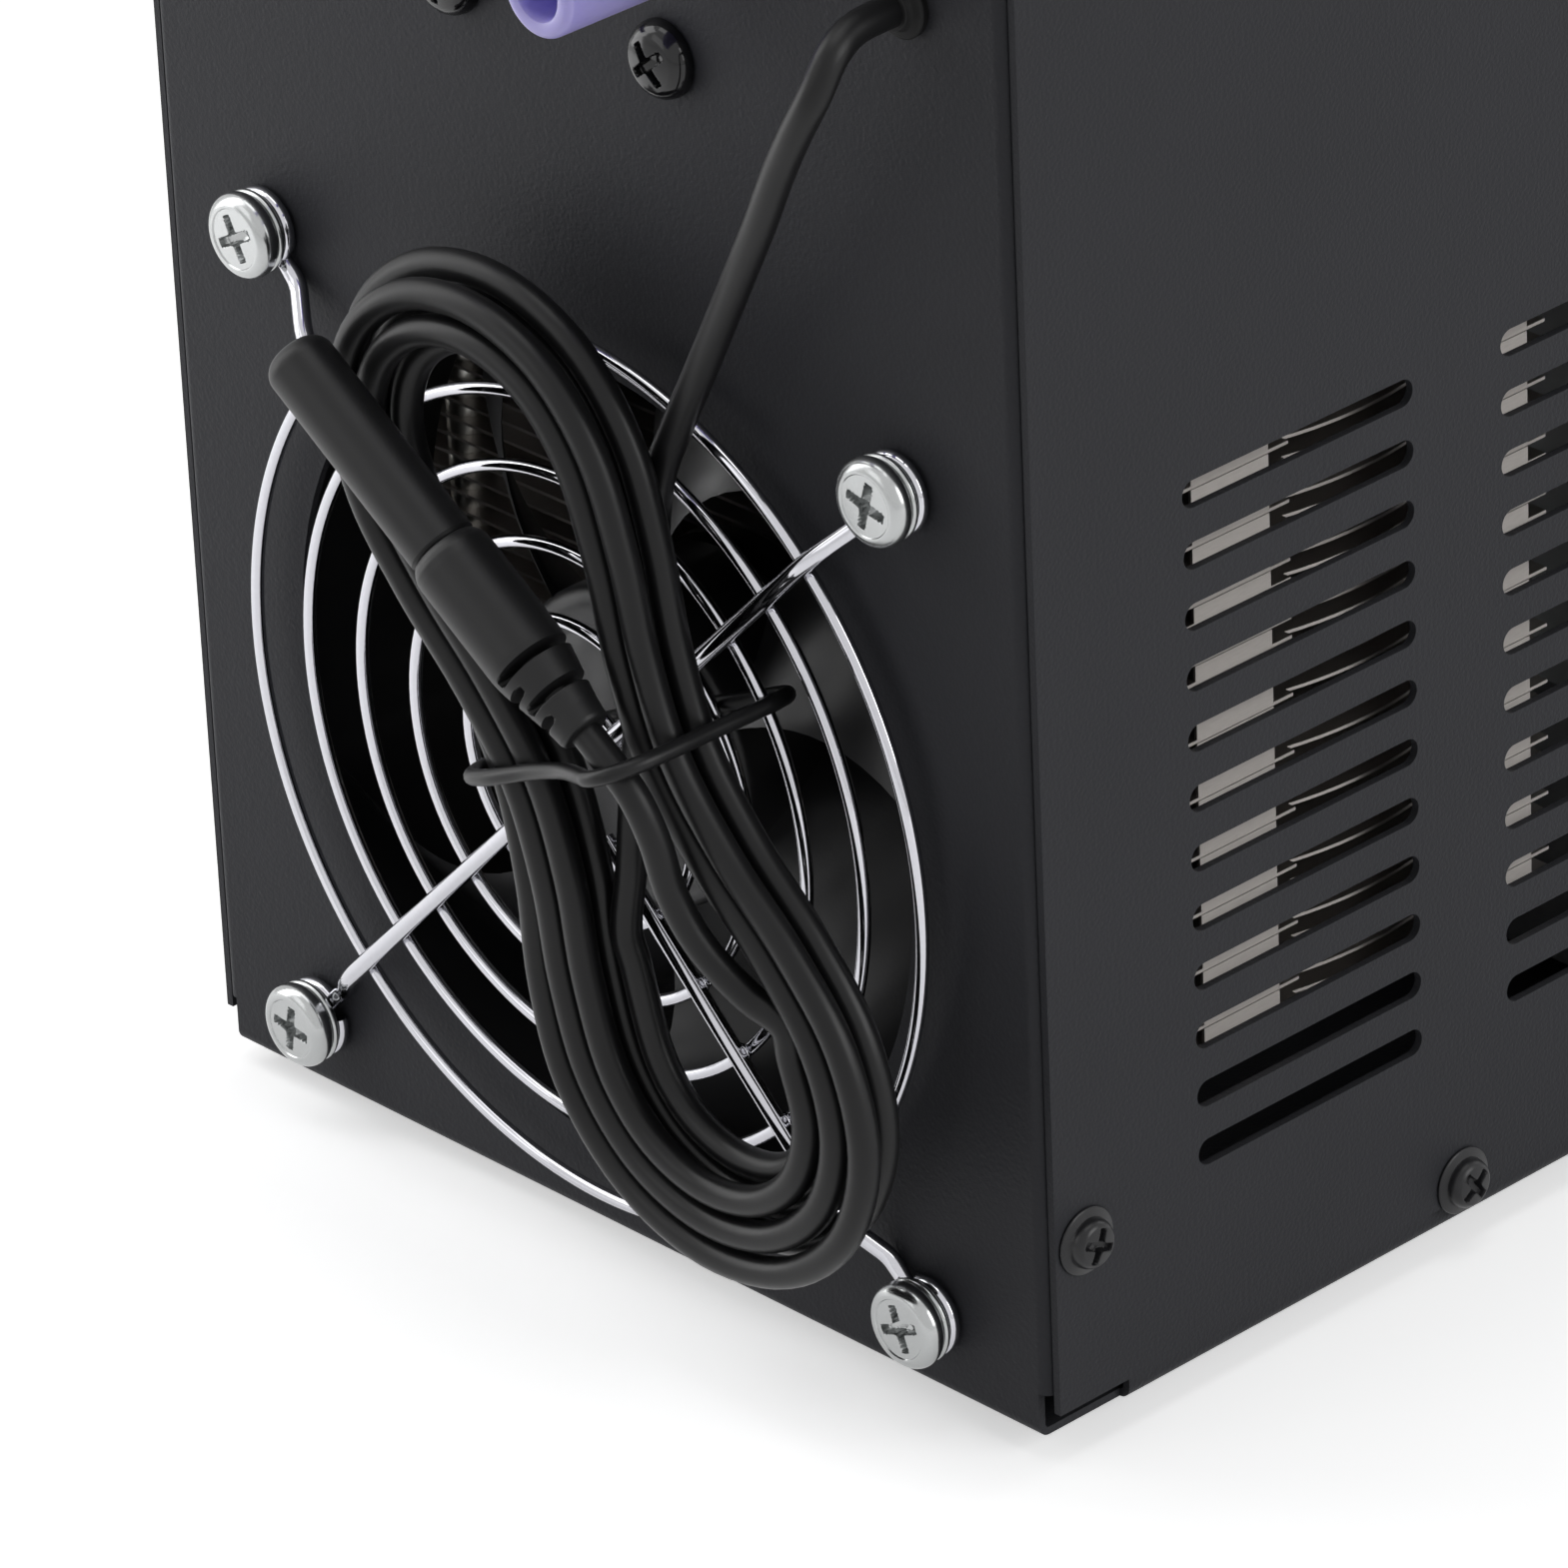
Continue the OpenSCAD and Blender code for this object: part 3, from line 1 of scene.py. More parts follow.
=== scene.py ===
"""Looks of a thermoelectric aquarium chiller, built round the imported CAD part.

The frame is the CAD's: rear panel with the fan at +Y, control panel at -Y, z = 0 under the feet.
Sizes are in millimetres in the tables and helpers below, and turn to metres where a mesh is made.
Only the soft boxes, the floor and the camera's clipping are given in metres.
"""

import math

import bmesh
import bpy
import numpy as np
from mathutils import Matrix, Vector


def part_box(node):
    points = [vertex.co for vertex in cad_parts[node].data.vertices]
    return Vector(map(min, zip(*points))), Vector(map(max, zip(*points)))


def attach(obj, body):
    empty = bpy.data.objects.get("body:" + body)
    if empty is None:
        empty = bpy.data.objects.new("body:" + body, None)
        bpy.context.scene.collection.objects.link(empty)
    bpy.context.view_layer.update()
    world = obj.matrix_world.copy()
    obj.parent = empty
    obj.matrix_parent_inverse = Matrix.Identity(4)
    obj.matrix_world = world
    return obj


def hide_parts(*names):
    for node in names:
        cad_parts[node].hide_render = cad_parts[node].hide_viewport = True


MM = 0.001
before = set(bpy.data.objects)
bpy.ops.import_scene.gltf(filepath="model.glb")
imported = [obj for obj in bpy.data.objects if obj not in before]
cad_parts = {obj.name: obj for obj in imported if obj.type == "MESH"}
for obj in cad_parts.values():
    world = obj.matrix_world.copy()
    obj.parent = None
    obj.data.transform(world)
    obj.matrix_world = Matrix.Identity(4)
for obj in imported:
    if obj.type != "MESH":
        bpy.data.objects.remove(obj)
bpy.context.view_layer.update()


def cad_box(node):
    """Lowest and highest corner of a CAD node, in millimetres."""
    low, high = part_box(node)
    return np.array(low) / MM, np.array(high) / MM


# Places read from the frame
CASE_LOW, CASE_HIGH = cad_box("chassis")
PANEL_Y, FRONT_Y, CASE_Z = CASE_HIGH[1], CASE_LOW[1], CASE_LOW[2]
FAN_Z = sum(cad_box("fan_frame"))[2] / 2

# ---------------------------------------------------------------- camera, light and floor

# The photograph's view, solved from the panel, the screws and the slots
PHOTO_SIDE = 1569
VIEW_AZIMUTH = 227.406
VIEW_ELEVATION = 27.832
VIEW_ROLL = -2.619
FOCAL_PX = 10678.1
VIEW_TARGET = (-30.464, 108.016, 73.552)
VIEW_DISTANCE = 1209.133
SENSOR_MM = 36
CLIP_END_M = 20

# Soft boxes in metres and watts: place, target, width, height, power
SOFT_BOXES = {
    "key": ((0.3, 0.27, 0.26), (0.02, 0.11, 0.1), 0.2, 0.5, 0.8),
    "side": ((-1.5, -0.3, 0.8), (-0.07, 0, 0.1), 1.0, 1.0, 11),
    "back": ((0.5, 1.6, 0.9), (0, 0.1, 0.1), 0.9, 0.9, 2.0),
    "front": ((0.3, -1.6, 1.0), (0, -0.1, 0.1), 1.2, 1.0, 9),
    "top": ((0.1, 0.0, 1.9), (0, 0, 0.2), 1.2, 1.2, 7),
}
WHITE = (1, 1, 1, 1)
WORLD_FILL, WORLD_SEEN = 0.18, 1.0
FLOOR_HALF_M = 4.0
FLOOR_COLOR, FLOOR_ROUGH, FLOOR_LIFT = (0.93, 0.93, 0.935, 1), 0.9, 0.5


def add_object(name, data):
    obj = bpy.data.objects.new(name, data)
    bpy.context.scene.collection.objects.link(obj)
    return obj


def add_node(tree, kind, inputs=None, **settings):
    """A new shader node; an input takes a value, or a link from another node's output."""
    node = tree.nodes.new("ShaderNode" + kind)
    for key, value in settings.items():
        setattr(node, key, value)
    for key, value in (inputs or {}).items():
        if isinstance(value, bpy.types.NodeSocket):
            tree.links.new(value, node.inputs[key])
        else:
            node.inputs[key].default_value = value
    return node


def add_material(name, **sockets):
    """A new material with values on its shader's own sockets, its tree and its shader."""
    mat = bpy.data.materials.new(name)
    mat.use_nodes = True
    shader = mat.node_tree.nodes["Principled BSDF"]
    for socket, value in sockets.items():
        shader.inputs[socket.replace("_", " ")].default_value = value
    return mat, mat.node_tree, shader


def seen_or_mirrored(tree):
    """1 for rays from the camera and off glossy surfaces, and 0 for the light that fills."""
    rays = add_node(tree, "LightPath").outputs
    kinds = {0: rays["Is Camera Ray"], 1: rays["Is Glossy Ray"]}
    return add_node(tree, "Math", kinds, operation="MAXIMUM").outputs["Value"]


def make_camera():
    a, e, r = (math.radians(v) for v in (VIEW_AZIMUTH, VIEW_ELEVATION, VIEW_ROLL))
    back = Vector((math.sin(a) * math.cos(e), -math.cos(a) * math.cos(e), math.sin(e)))
    right = Vector((math.cos(a), math.sin(a), 0))
    up = back.cross(right)
    right, up = (
        right * math.cos(r) + up * math.sin(r),
        up * math.cos(r) - right * math.sin(r),
    )
    data = bpy.data.cameras.new("camera")
    data.sensor_width = SENSOR_MM
    data.lens = FOCAL_PX * SENSOR_MM / PHOTO_SIDE
    data.clip_end = CLIP_END_M
    cam = add_object("camera", data)
    turn = Matrix((right, up, back)).transposed().to_4x4()
    cam.matrix_world = Matrix.Translation((Vector(VIEW_TARGET) + back * VIEW_DISTANCE) * MM) @ turn
    bpy.context.scene.camera = cam


def make_lights():
    for name, (at, target, width, height, power) in SOFT_BOXES.items():
        data = bpy.data.lights.new(name, "AREA")
        data.shape = "RECTANGLE"
        data.size, data.size_y = width, height
        data.energy = power
        lamp = add_object(name, data)
        lamp.location = at
        lamp.visible_camera = False
        lamp.rotation_euler = (Vector(target) - Vector(at)).to_track_quat("-Z", "Y").to_euler()


def make_world():
    """White where it is seen or mirrored, and plain fill light elsewhere."""
    scene = bpy.context.scene
    scene.view_settings.view_transform = "Standard"
    scene.world = scene.world or bpy.data.worlds.new("world")
    scene.world.use_nodes = True
    tree = scene.world.node_tree
    back = tree.nodes["Background"]
    back.inputs["Color"].default_value = WHITE
    levels = {"Value": seen_or_mirrored(tree), "To Min": WORLD_FILL, "To Max": WORLD_SEEN}
    level = add_node(tree, "MapRange", levels)
    tree.links.new(level.outputs["Result"], back.inputs["Strength"])


def make_floor():
    """The floor is lifted to white where it is seen or mirrored; the object's shadow stays."""
    signs = ((-1, -1), (1, -1), (1, 1), (-1, 1))
    corners = [(FLOOR_HALF_M * x, FLOOR_HALF_M * y, 0) for x, y in signs]
    mesh = bpy.data.meshes.new("floor")
    mesh.from_pydata(corners, [], [(0, 1, 2, 3)])
    mat, tree, shader = add_material(
        "floor_white", Base_Color=FLOOR_COLOR, Roughness=FLOOR_ROUGH, Emission_Color=WHITE
    )
    lift = add_node(tree, "Math", {0: seen_or_mirrored(tree), 1: FLOOR_LIFT}, operation="MULTIPLY")
    tree.links.new(lift.outputs["Value"], shader.inputs["Emission Strength"])
    mesh.materials.append(mat)
    add_object("floor", mesh)


make_camera()
make_lights()
make_world()
make_floor()

# ---------------------------------------------------------------- materials

GRAIN_DETAIL, MOTTLE_DETAIL = 3, 4
MOTTLE_OVER_GRAIN = 60
GRAIN_IN_COLOR = 0.5
NOISE_LOW, NOISE_HIGH = 0.3, 0.7
LEAST_ROUGH = 0.02


def surface(
    name,
    color,
    rough,
    metal=0.0,
    grain_mm=0.6,
    bump_mm=0.01,
    mottle=0.08,
    rough_spread=0.06,
    stretch=(1, 1, 1),
    **sockets,
):
    """A procedural material: fine grain as bump, slow change of colour and of roughness."""
    mat, tree, shader = add_material(name, Metallic=metal, **sockets)
    coords = add_node(tree, "TexCoord").outputs["Object"]
    spot = add_node(tree, "Mapping", {"Vector": coords, "Scale": stretch}).outputs["Vector"]

    def noise(size_mm, detail):
        values = {"Vector": spot, "Scale": 1 / (size_mm * MM), "Detail": detail}
        return add_node(tree, "TexNoise", values).outputs["Fac"]

    # The grain is added to the slow noise about its own middle, and clamped
    fine = noise(grain_mm, GRAIN_DETAIL)
    slow = noise(grain_mm * MOTTLE_OVER_GRAIN, MOTTLE_DETAIL)
    bump = add_node(tree, "Bump", {"Strength": 1, "Distance": bump_mm * MM, "Height": fine})
    tree.links.new(bump.outputs["Normal"], shader.inputs["Normal"])
    grain = {0: fine, 1: GRAIN_IN_COLOR, 2: -GRAIN_IN_COLOR / 2}
    grain = add_node(tree, "Math", grain, operation="MULTIPLY_ADD").outputs["Value"]
    blend = add_node(tree, "Math", {0: slow, 1: grain}, operation="ADD", use_clamp=True)
    dark = (*(c * (1 - mottle) for c in color), 1)
    light = (*(min(1, c * (1 + mottle)) for c in color), 1)
    shades = {"A": dark, "B": light, "Factor": blend.outputs["Value"]}
    mix = add_node(tree, "Mix", shades, data_type="RGBA")
    tree.links.new(mix.outputs["Result"], shader.inputs["Base Color"])
    levels = {
        "Value": slow,
        "From Min": NOISE_LOW,
        "From Max": NOISE_HIGH,
        "To Min": max(LEAST_ROUGH, rough - rough_spread),
        "To Max": rough + rough_spread,
    }
    spread = add_node(tree, "MapRange", levels)
    tree.links.new(spread.outputs["Result"], shader.inputs["Roughness"])
    return mat


COAT = surface(
    "powder_coat", (0.031, 0.0315, 0.0355), 0.5, grain_mm=0.5, bump_mm=0.1, mottle=0.12,
    rough_spread=0.012, Specular_IOR_Level=0.1,
)
BLACK_SCREW = surface(
    "black_oxide", (0.012, 0.012, 0.0135), 0.3, grain_mm=0.3, bump_mm=0.006,
    Specular_IOR_Level=0.35,
)
GLOSS_BLACK = surface(
    "black_gloss", (0.008, 0.008, 0.009), 0.12, metal=0.2, grain_mm=0.5, bump_mm=0.002,
    rough_spread=0.04,
)
ZINC = surface(
    "zinc_plate", (0.43, 0.44, 0.44), 0.22, metal=1, grain_mm=0.25, bump_mm=0.004, mottle=0.12
)
CHROME = surface(
    "bright_wire", (0.55, 0.55, 0.585), 0.08, metal=1, grain_mm=0.5, bump_mm=0.002,
    rough_spread=0.03,
)
STEEL = surface("steel", (0.56, 0.56, 0.57), 0.32, metal=1, grain_mm=0.3, bump_mm=0.004)
GALVANISED = surface("galvanised", (0.6, 0.61, 0.62), 0.36, metal=1, grain_mm=2.2, mottle=0.16)
FIN = surface(
    "fin_aluminium", (0.5, 0.47, 0.445), 0.42, metal=1, grain_mm=0.25, bump_mm=0.012, mottle=0.2,
    stretch=(1, 0.15, 1),
)
ALUMINIUM = surface(
    "milled_aluminium", (0.72, 0.72, 0.73), 0.3, metal=1, grain_mm=0.3, bump_mm=0.006,
    stretch=(0.1, 1, 1),
)
NICKEL = surface(
    "nickel_plate", (0.5, 0.49, 0.46), 0.3, metal=1, grain_mm=0.5, bump_mm=0.004, mottle=0.12
)
COPPER = surface("copper", (0.78, 0.42, 0.27), 0.26, metal=1, bump_mm=0.004, mottle=0.15)
BRASS = surface("brass", (0.78, 0.62, 0.33), 0.26, metal=1, grain_mm=0.4, bump_mm=0.003)
MAGNET = surface("ferrite", (0.05, 0.05, 0.052), 0.6, grain_mm=0.3)
FAN_BLACK = surface("fan_plastic", (0.014, 0.014, 0.015), 0.36, grain_mm=0.35, bump_mm=0.012)
CORD = surface(
    "cord_jacket", (0.008, 0.008, 0.0085), 0.36, grain_mm=0.3, bump_mm=0.006,
    Specular_IOR_Level=0.25,
)
PROBE = surface(
    "probe_jacket", (0.0095, 0.0095, 0.01), 0.42, grain_mm=0.25, bump_mm=0.012,
    Specular_IOR_Level=0.3,
)
RUBBER = surface(
    "rubber", (0.007, 0.007, 0.0072), 0.6, grain_mm=0.4, bump_mm=0.02, Specular_IOR_Level=0.2
)
MOULDED = surface("moulded_black", (0.017, 0.017, 0.018), 0.42, grain_mm=0.3, bump_mm=0.015)
BUTTON = surface("button_black", (0.02, 0.02, 0.021), 0.3, grain_mm=0.25, bump_mm=0.006)
BOARD = surface(
    "board_resin", (0.02, 0.13, 0.055), 0.35, grain_mm=0.5, bump_mm=0.004, mottle=0.12
)
RELAY = surface("relay_case", (0.02, 0.07, 0.28), 0.35, grain_mm=0.3, bump_mm=0.008)
CERAMIC = surface("ceramic", (0.82, 0.81, 0.78), 0.55, grain_mm=0.2, bump_mm=0.006)
WINDOW = surface(
    "smoked_window", (0.01, 0.005, 0.006), 0.08, bump_mm=0.001, rough_spread=0.02,
    Specular_IOR_Level=0.35,
)
STUB = surface(
    "stub_plastic", (0.43, 0.39, 0.78), 0.34, grain_mm=0.5, bump_mm=0.006, mottle=0.04,
    Subsurface_Weight=0.45, Subsurface_Radius=(0.004, 0.004, 0.005), Subsurface_Scale=1.0,
)

CAD_LOOKS = {
    COAT: ("chassis", "cover"),
    BLACK_SCREW: ("cover_screws", "bracket_screws"),
    ZINC: (
        "guard_screws", "lid_screws", "clamp_screws", "shelf_screws", "bracket_nuts", "port_nuts",
    ),
    CHROME: ("fan_guard", "guard_rings"),
    STEEL: ("fan_shaft", "fan_bearings", "clamp_bar", "sink_bracket"),
    GALVANISED: ("power_supply",),
    FIN: ("fin_stack",),
    ALUMINIUM: ("base_plate", "water_block", "block_lid"),
    NICKEL: ("heat_pipes",),
    COPPER: ("fan_stator",),
    BRASS: ("supply_standoffs", "board_standoffs", "inlet_pins"),
    MAGNET: ("fan_magnet",),
    FAN_BLACK: ("fan_frame", "fan_impeller"),
    RUBBER: ("feet", "block_gasket", "port_seals", "cord_bush"),
    MOULDED: (
        "supply_terminals", "display_module", "key_switches", "power_inlet", "switch_frame",
        "rocker", "display_bezel", "set_button", "up_button", "down_button",
    ),
    BOARD: ("fan_board", "control_board"),
    RELAY: ("relays",),
    CERAMIC: ("cooling_module",),
    WINDOW: ("display_window",),
    STUB: ("inlet_stub", "outlet_stub"),
    CORD: ("cord_lead", "cord_hank", "cord_tail", "cord_tie"),
    PROBE: ("probe_boot", "probe_sleeve"),
}
for look, nodes in CAD_LOOKS.items():
    for node in nodes:
        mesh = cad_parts[node].data
        mesh.materials.clear()
        mesh.materials.append(look)

# ---------------------------------------------------------------- mesh helpers

TINY = 1e-6
# Steps of a small round edge
ROUND_STEPS = 8
Y, Z = (0, 1, 0), (0, 0, 1)
# Directions that no turned shape's axis takes, from which its points are counted
LATHE_HINT, HEAD_HINT = (0.3, 0.2, 0.9), (-0.11, -0.23, -0.97)


def unit(v):
    return v / np.linalg.norm(v)


def cos_sin(degrees):
    """Cosine and sine of an angle in degrees."""
    a = math.radians(degrees)
    return math.cos(a), math.sin(a)


def ease(x, low, high):
    """0 below low, 1 above high, and a smooth rise between."""
    t = np.clip((x - low) / (high - low), 0, 1)
    return t * t * (3 - 2 * t)


def piece(name, verts, faces, look, body="case", *, replaces, slot=None, crease=35):
    """A mesh piece from millimetre points, smooth but for edges sharper than crease degrees."""
    mesh = bpy.data.meshes.new(name)
    mesh.from_pydata([tuple(float(c) * MM for c in v) for v in verts], [], faces)
    mesh.validate()
    work = bmesh.new()
    work.from_mesh(mesh)
    bmesh.ops.recalc_face_normals(work, faces=work.faces)
    work.to_mesh(mesh)
    work.free()
    mesh.shade_smooth()
    mesh.set_sharp_from_angle(angle=math.radians(crease))
    mesh.materials.append(look)
    obj = add_object(name, mesh)
    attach(obj, body)
    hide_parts(*replaces)
    return obj


def merge(parts):
    """One list of points and faces from several."""
    verts, faces = [], []
    for v, f in parts:
        base = len(verts)
        verts += [tuple(p) for p in v]
        faces += [tuple(i + base for i in face) for face in f]
    return verts, faces


def round_grid(rows, ring=False):
    """A skin from rows of points that go round one axis, capped or joined to a ring."""
    m, n = len(rows), len(rows[0])
    verts = [p for row in rows for p in row]
    faces = []
    for i in range(m if ring else m - 1):
        here, there = i * n, (i + 1) % m * n
        for k in range(n):
            j = (k + 1) % n
            faces.append((here + k, here + j, there + j, there + k))
    if not ring:
        faces.append(tuple(reversed(range(n))))
        faces.append(tuple((m - 1) * n + k for k in range(n)))
    return verts, faces


def tube(points, radius, sides=16, closed=False):
    """A round tube along points; radius is one value or one per point."""
    p = np.asarray(points, float)
    n = len(p)
    radii = np.broadcast_to(np.asarray(radius, float), n)
    along = np.roll(p, -1, 0) - np.roll(p, 1, 0) if closed else np.gradient(p, axis=0)
    along = along / np.linalg.norm(along, axis=1)[:, None]
    # The side that the points are counted from is carried along without twist
    side = np.array(Y, float)
    carried = []
    for way in along:
        side = unit(side - (side @ way) * way)
        carried.append(side)
    twist = 0.0
    if closed:
        first = carried[0]
        end = unit(side - (side @ along[0]) * along[0])
        twist = math.atan2(np.cross(end, first) @ along[0], end @ first)
    rows = []
    for i, (centre, way, side) in enumerate(zip(p, along, carried)):
        other = np.cross(way, side)
        turns = [2 * math.pi * k / sides + twist * i / n for k in range(sides)]
        ring = [math.cos(a) * side + math.sin(a) * other for a in turns]
        rows.append([centre + radii[i] * out for out in ring])
    return round_grid(rows, ring=closed)


def flow(points, per_span=8, closed=False):
    """A smooth line through points, by centripetal Catmull-Rom spans."""
    p = np.asarray(points, float)
    spans = len(p) if closed else len(p) - 1
    ends = (p[-1:], p[:2]) if closed else (2 * p[:1] - p[1:2], 2 * p[-1:] - p[-2:-1])
    p = np.vstack([ends[0], p, ends[1]])

    def between(t, low, high, a, b):
        return (high - t) / (high - low) * a + (t - low) / (high - low) * b

    out = []
    for i in range(spans):
        q = p[i : i + 4]
        knots = [0.0]
        for a, b in zip(q[:-1], q[1:]):
            knots.append(knots[-1] + max(np.linalg.norm(b - a), TINY) ** 0.5)
        for t in np.linspace(knots[1], knots[2], per_span, endpoint=False):
            a = [between(t, knots[k], knots[k + 1], q[k], q[k + 1]) for k in range(3)]
            b = [between(t, knots[k], knots[k + 2], a[k], a[k + 1]) for k in range(2)]
            out.append(between(t, knots[1], knots[2], *b))
    if not closed:
        out.append(p[-2])
    return np.array(out)


def cross_sides(axis, hint):
    """The axis and two directions across it, from a hint that isn't along it."""
    axis = unit(np.asarray(axis, float))
    side = unit(np.cross(axis, hint))
    return axis, side, np.cross(axis, side)


def lathe(profile, at, axis, segments):
    """A turned shape: profile is (radius, height) pairs, height along axis from at."""
    axis, side, other = cross_sides(axis, LATHE_HINT)
    verts, faces, rows = [], [], []
    for r, h in profile:
        first = len(verts)
        if r < TINY:
            verts.append(at + h * axis)
        else:
            for k in range(segments):
                a = 2 * math.pi * k / segments
                verts.append(at + h * axis + r * (math.cos(a) * side + math.sin(a) * other))
        rows.append(range(first, len(verts)))
    for lower, upper in zip(rows[:-1], rows[1:]):
        if len(lower) == len(upper) == 1:
            continue
        for k in range(segments):
            j = (k + 1) % segments
            if len(lower) == 1:
                faces.append((lower[0], upper[j], upper[k]))
            elif len(upper) == 1:
                faces.append((lower[k], lower[j], upper[0]))
            else:
                faces.append((lower[k], lower[j], upper[j], upper[k]))
    return verts, faces


def arc(cx, cy, r, start, end, steps):
    """Points of a circular arc, in degrees."""
    turns = (cos_sin(a) for a in np.linspace(start, end, steps + 1))
    return [(cx + r * c, cy + r * s) for c, s in turns]


def shoulder(r, h, wide, tall, angles):
    """Points of an oval shoulder that climbs inwards from radius r at height h."""
    return [(r - wide * (1 - math.cos(a)), h + tall * math.sin(a)) for a in angles]


# ---------------------------------------------------------------- cord

# The route's points are those of part.scad: x, distance off the rear panel and height above the
# case bottom. Only the cord starts deeper in its bush, and the tie is a little tighter.
CORD_D = 3.8
CORD_PITCH = 4.4
BUSH = (-56, 1.4, 174.5)
LEAD = [
    (-56.4, 8.4, 174.2), (-57, 12, 172.6), (-56.4, 14, 168.8), (-54, 14.4, 164.4),
    (-50.4, 14, 158.4), (-45.6, 13, 149.8), (-40.2, 11.6, 141.2), (-35, 10.2, 133),
    (-30, 9, 125), (-25.4, 8.3, 117.2), (-21.8, 8.2, 109.4), (-20.2, 8.2, 99.8),
    (-19, 8.3, 89.6), (-17.4, 8.6, 79.8), (-16.8, 9.6, 69.8), (-17.4, 11.4, 60),
]
# Along the hank, across it and off the panel
TAIL = [
    (-28, -16, 18.2), (-21, -13.6, 20.3), (-14, -13.6, 21.9), (-7, -15.3, 23), (-1.5, -15.4, 23.8),
]
# The hank's middle, its lean in degrees, its slant across, and its innermost run: reach and
# radius of its top and low end, and half its width at the waist
HANK_X, HANK_Z, HANK_OFF = -17.6, 74.4, 12.6
HANK_LEAN, SHEAR = 24.5, 0.067
TOP_A, TOP_R = 48, 11.8
LOW_A, LOW_R = 49, 13.2
WAIST = 5
# The runs grow outwards for TURN_AT turns, and then back inwards in a second layer
TURN_AT, HANK_END = 3, 5.375
LAYER_CHANGE = 1 / 8
# Points to a turn, and the first of them that is used
HANK_STEPS, HANK_FIRST = 24, 2
CORD_SIDES, CORD_STEPS = 20, 6
TIE_D, TIE_SIDES = 2, 14
# The tie's place along the hank, and its points across it and off the panel, once round
TIE_U = 2
TIE = [
    (15.8, 1.2), (2, 1.2), (-14, 1.2), (-19.0, 1.3), (-20.2, 4), (-20.0, 9), (-19.6, 14),
    (-19.4, 19.4), (-18.8, 24.0), (-16.8, 27.0), (-13.6, 27.4), (-9.8, 25.6), (-2, 22.1),
    (6, 20.5), (14, 20.4), (19.6, 18.5), (21.5, 14.6), (20.6, 9.6), (17.6, 6.4), (16.6, 3.4),
]


def place(q):
    """A point from x, distance off the rear panel and height above the case bottom."""
    return np.array((q[0], PANEL_Y + q[1], CASE_Z + q[2]))


def hank_place(u, v, off):
    """A point u along the leaning hank, v across it and off the panel."""
    c, s = cos_sin(HANK_LEAN)
    w = v + SHEAR * u
    return place((HANK_X + u * s + w * c, off, HANK_Z + u * c - w * s))


def hank_point(turns):
    """The route so many turns along: down the left run, round, up the right run, round."""
    grow = CORD_PITCH * (turns if turns < TURN_AT else 2 * TURN_AT - turns)
    top_r, low_r, waist = TOP_R + grow, LOW_R + grow, WAIST + grow
    top_u, low_u = TOP_A - TOP_R, LOW_A - LOW_R

    def drawn(q, r):
        """Half the width, from the waist at q = 0 to the round end at q = 1."""
        return waist + (r - waist) * (1 - math.cos(math.pi * q)) / 2

    eighths = 8 * (turns - math.floor(turns))
    if eighths < 1:
        u, v = -low_u * eighths, drawn(eighths, low_r)
    elif eighths < 3:
        c, s = cos_sin(90 * (eighths - 1))
        u, v = -low_u - low_r * s, low_r * c
    elif eighths < 4:
        u, v = -low_u * (4 - eighths), -drawn(4 - eighths, low_r)
    elif eighths < 5:
        u, v = top_u * (eighths - 4), -drawn(eighths - 4, top_r)
    elif eighths < 7:
        c, s = cos_sin(90 * (eighths - 5))
        u, v = top_u + top_r * s, -top_r * c
    else:
        u, v = top_u * (8 - eighths), drawn(8 - eighths, top_r)
    layer = ease(turns, TURN_AT - LAYER_CHANGE, TURN_AT + LAYER_CHANGE)
    return hank_place(u, v, HANK_OFF + layer * CORD_PITCH)


def make_cord():
    last = round(HANK_END * HANK_STEPS)
    hank = [hank_point(k / HANK_STEPS) for k in range(HANK_FIRST, last + 1)]
    into, out = unit(hank[1] - hank[0]), unit(hank[-1] - hank[-2])
    boot, axis, _ = probe_frame(0)
    bush = place(BUSH)
    route = [bush, *(place(q) for q in LEAD), hank[0] - CORD_D * into]
    route += hank + [hank[-1] + CORD_D * out]
    route += [hank_place(u, v - SHEAR * u, off) for u, v, off in TAIL]
    route += [boot - CORD_D * axis, boot]
    line = flow(route, CORD_STEPS)
    skin = tube(line, CORD_D / 2, CORD_SIDES)
    solids = ("cord_lead", "cord_hank", "cord_tail")
    cord = piece("probe_cord", *skin, CORD, replaces=solids, slot="cord")
    tie_line = flow([hank_place(TIE_U, v, off) for v, off in TIE], closed=True)
    skin = tube(tie_line, TIE_D / 2, TIE_SIDES, closed=True)
    tie = piece("wire_tie", *skin, CORD, replaces=("cord_tie",), slot="cord")
    make_boot()
    make_sleeve()


# ---------------------------------------------------------------- boot and sleeve of the probe

PROBE_X, PROBE_OFF, PROBE_Z = -25.3, 24.1, 85
PROBE_TURN = 34.7
PROBE_SIDES = 72
# Height and radius along the boot: a thin tail, a cone, a parallel grip and a soft shoulder
BOOT_OUTLINE = np.array([
    (0, 2.6), (0.2, 2.95), (0.6, 3.15), (2.6, 3.4), (5.5, 3.95), (9.2, 4.7), (10.4, 4.88),
    (11.4, 4.95), (24.6, 4.95), (25.6, 4.88), (26.3, 4.62), (26.8, 4.3), (27, 4.15),
])
BOOT_LEN, BOOT_SHOULDER = 27, 24.5
# Distance between the boot's rows, fine as far as the cuts go, and rows in its shoulder
CUTS_END, CUTS_STEP, GRIP_STEP, SHOULDER_ROWS = 13, 0.11, 0.7, 16
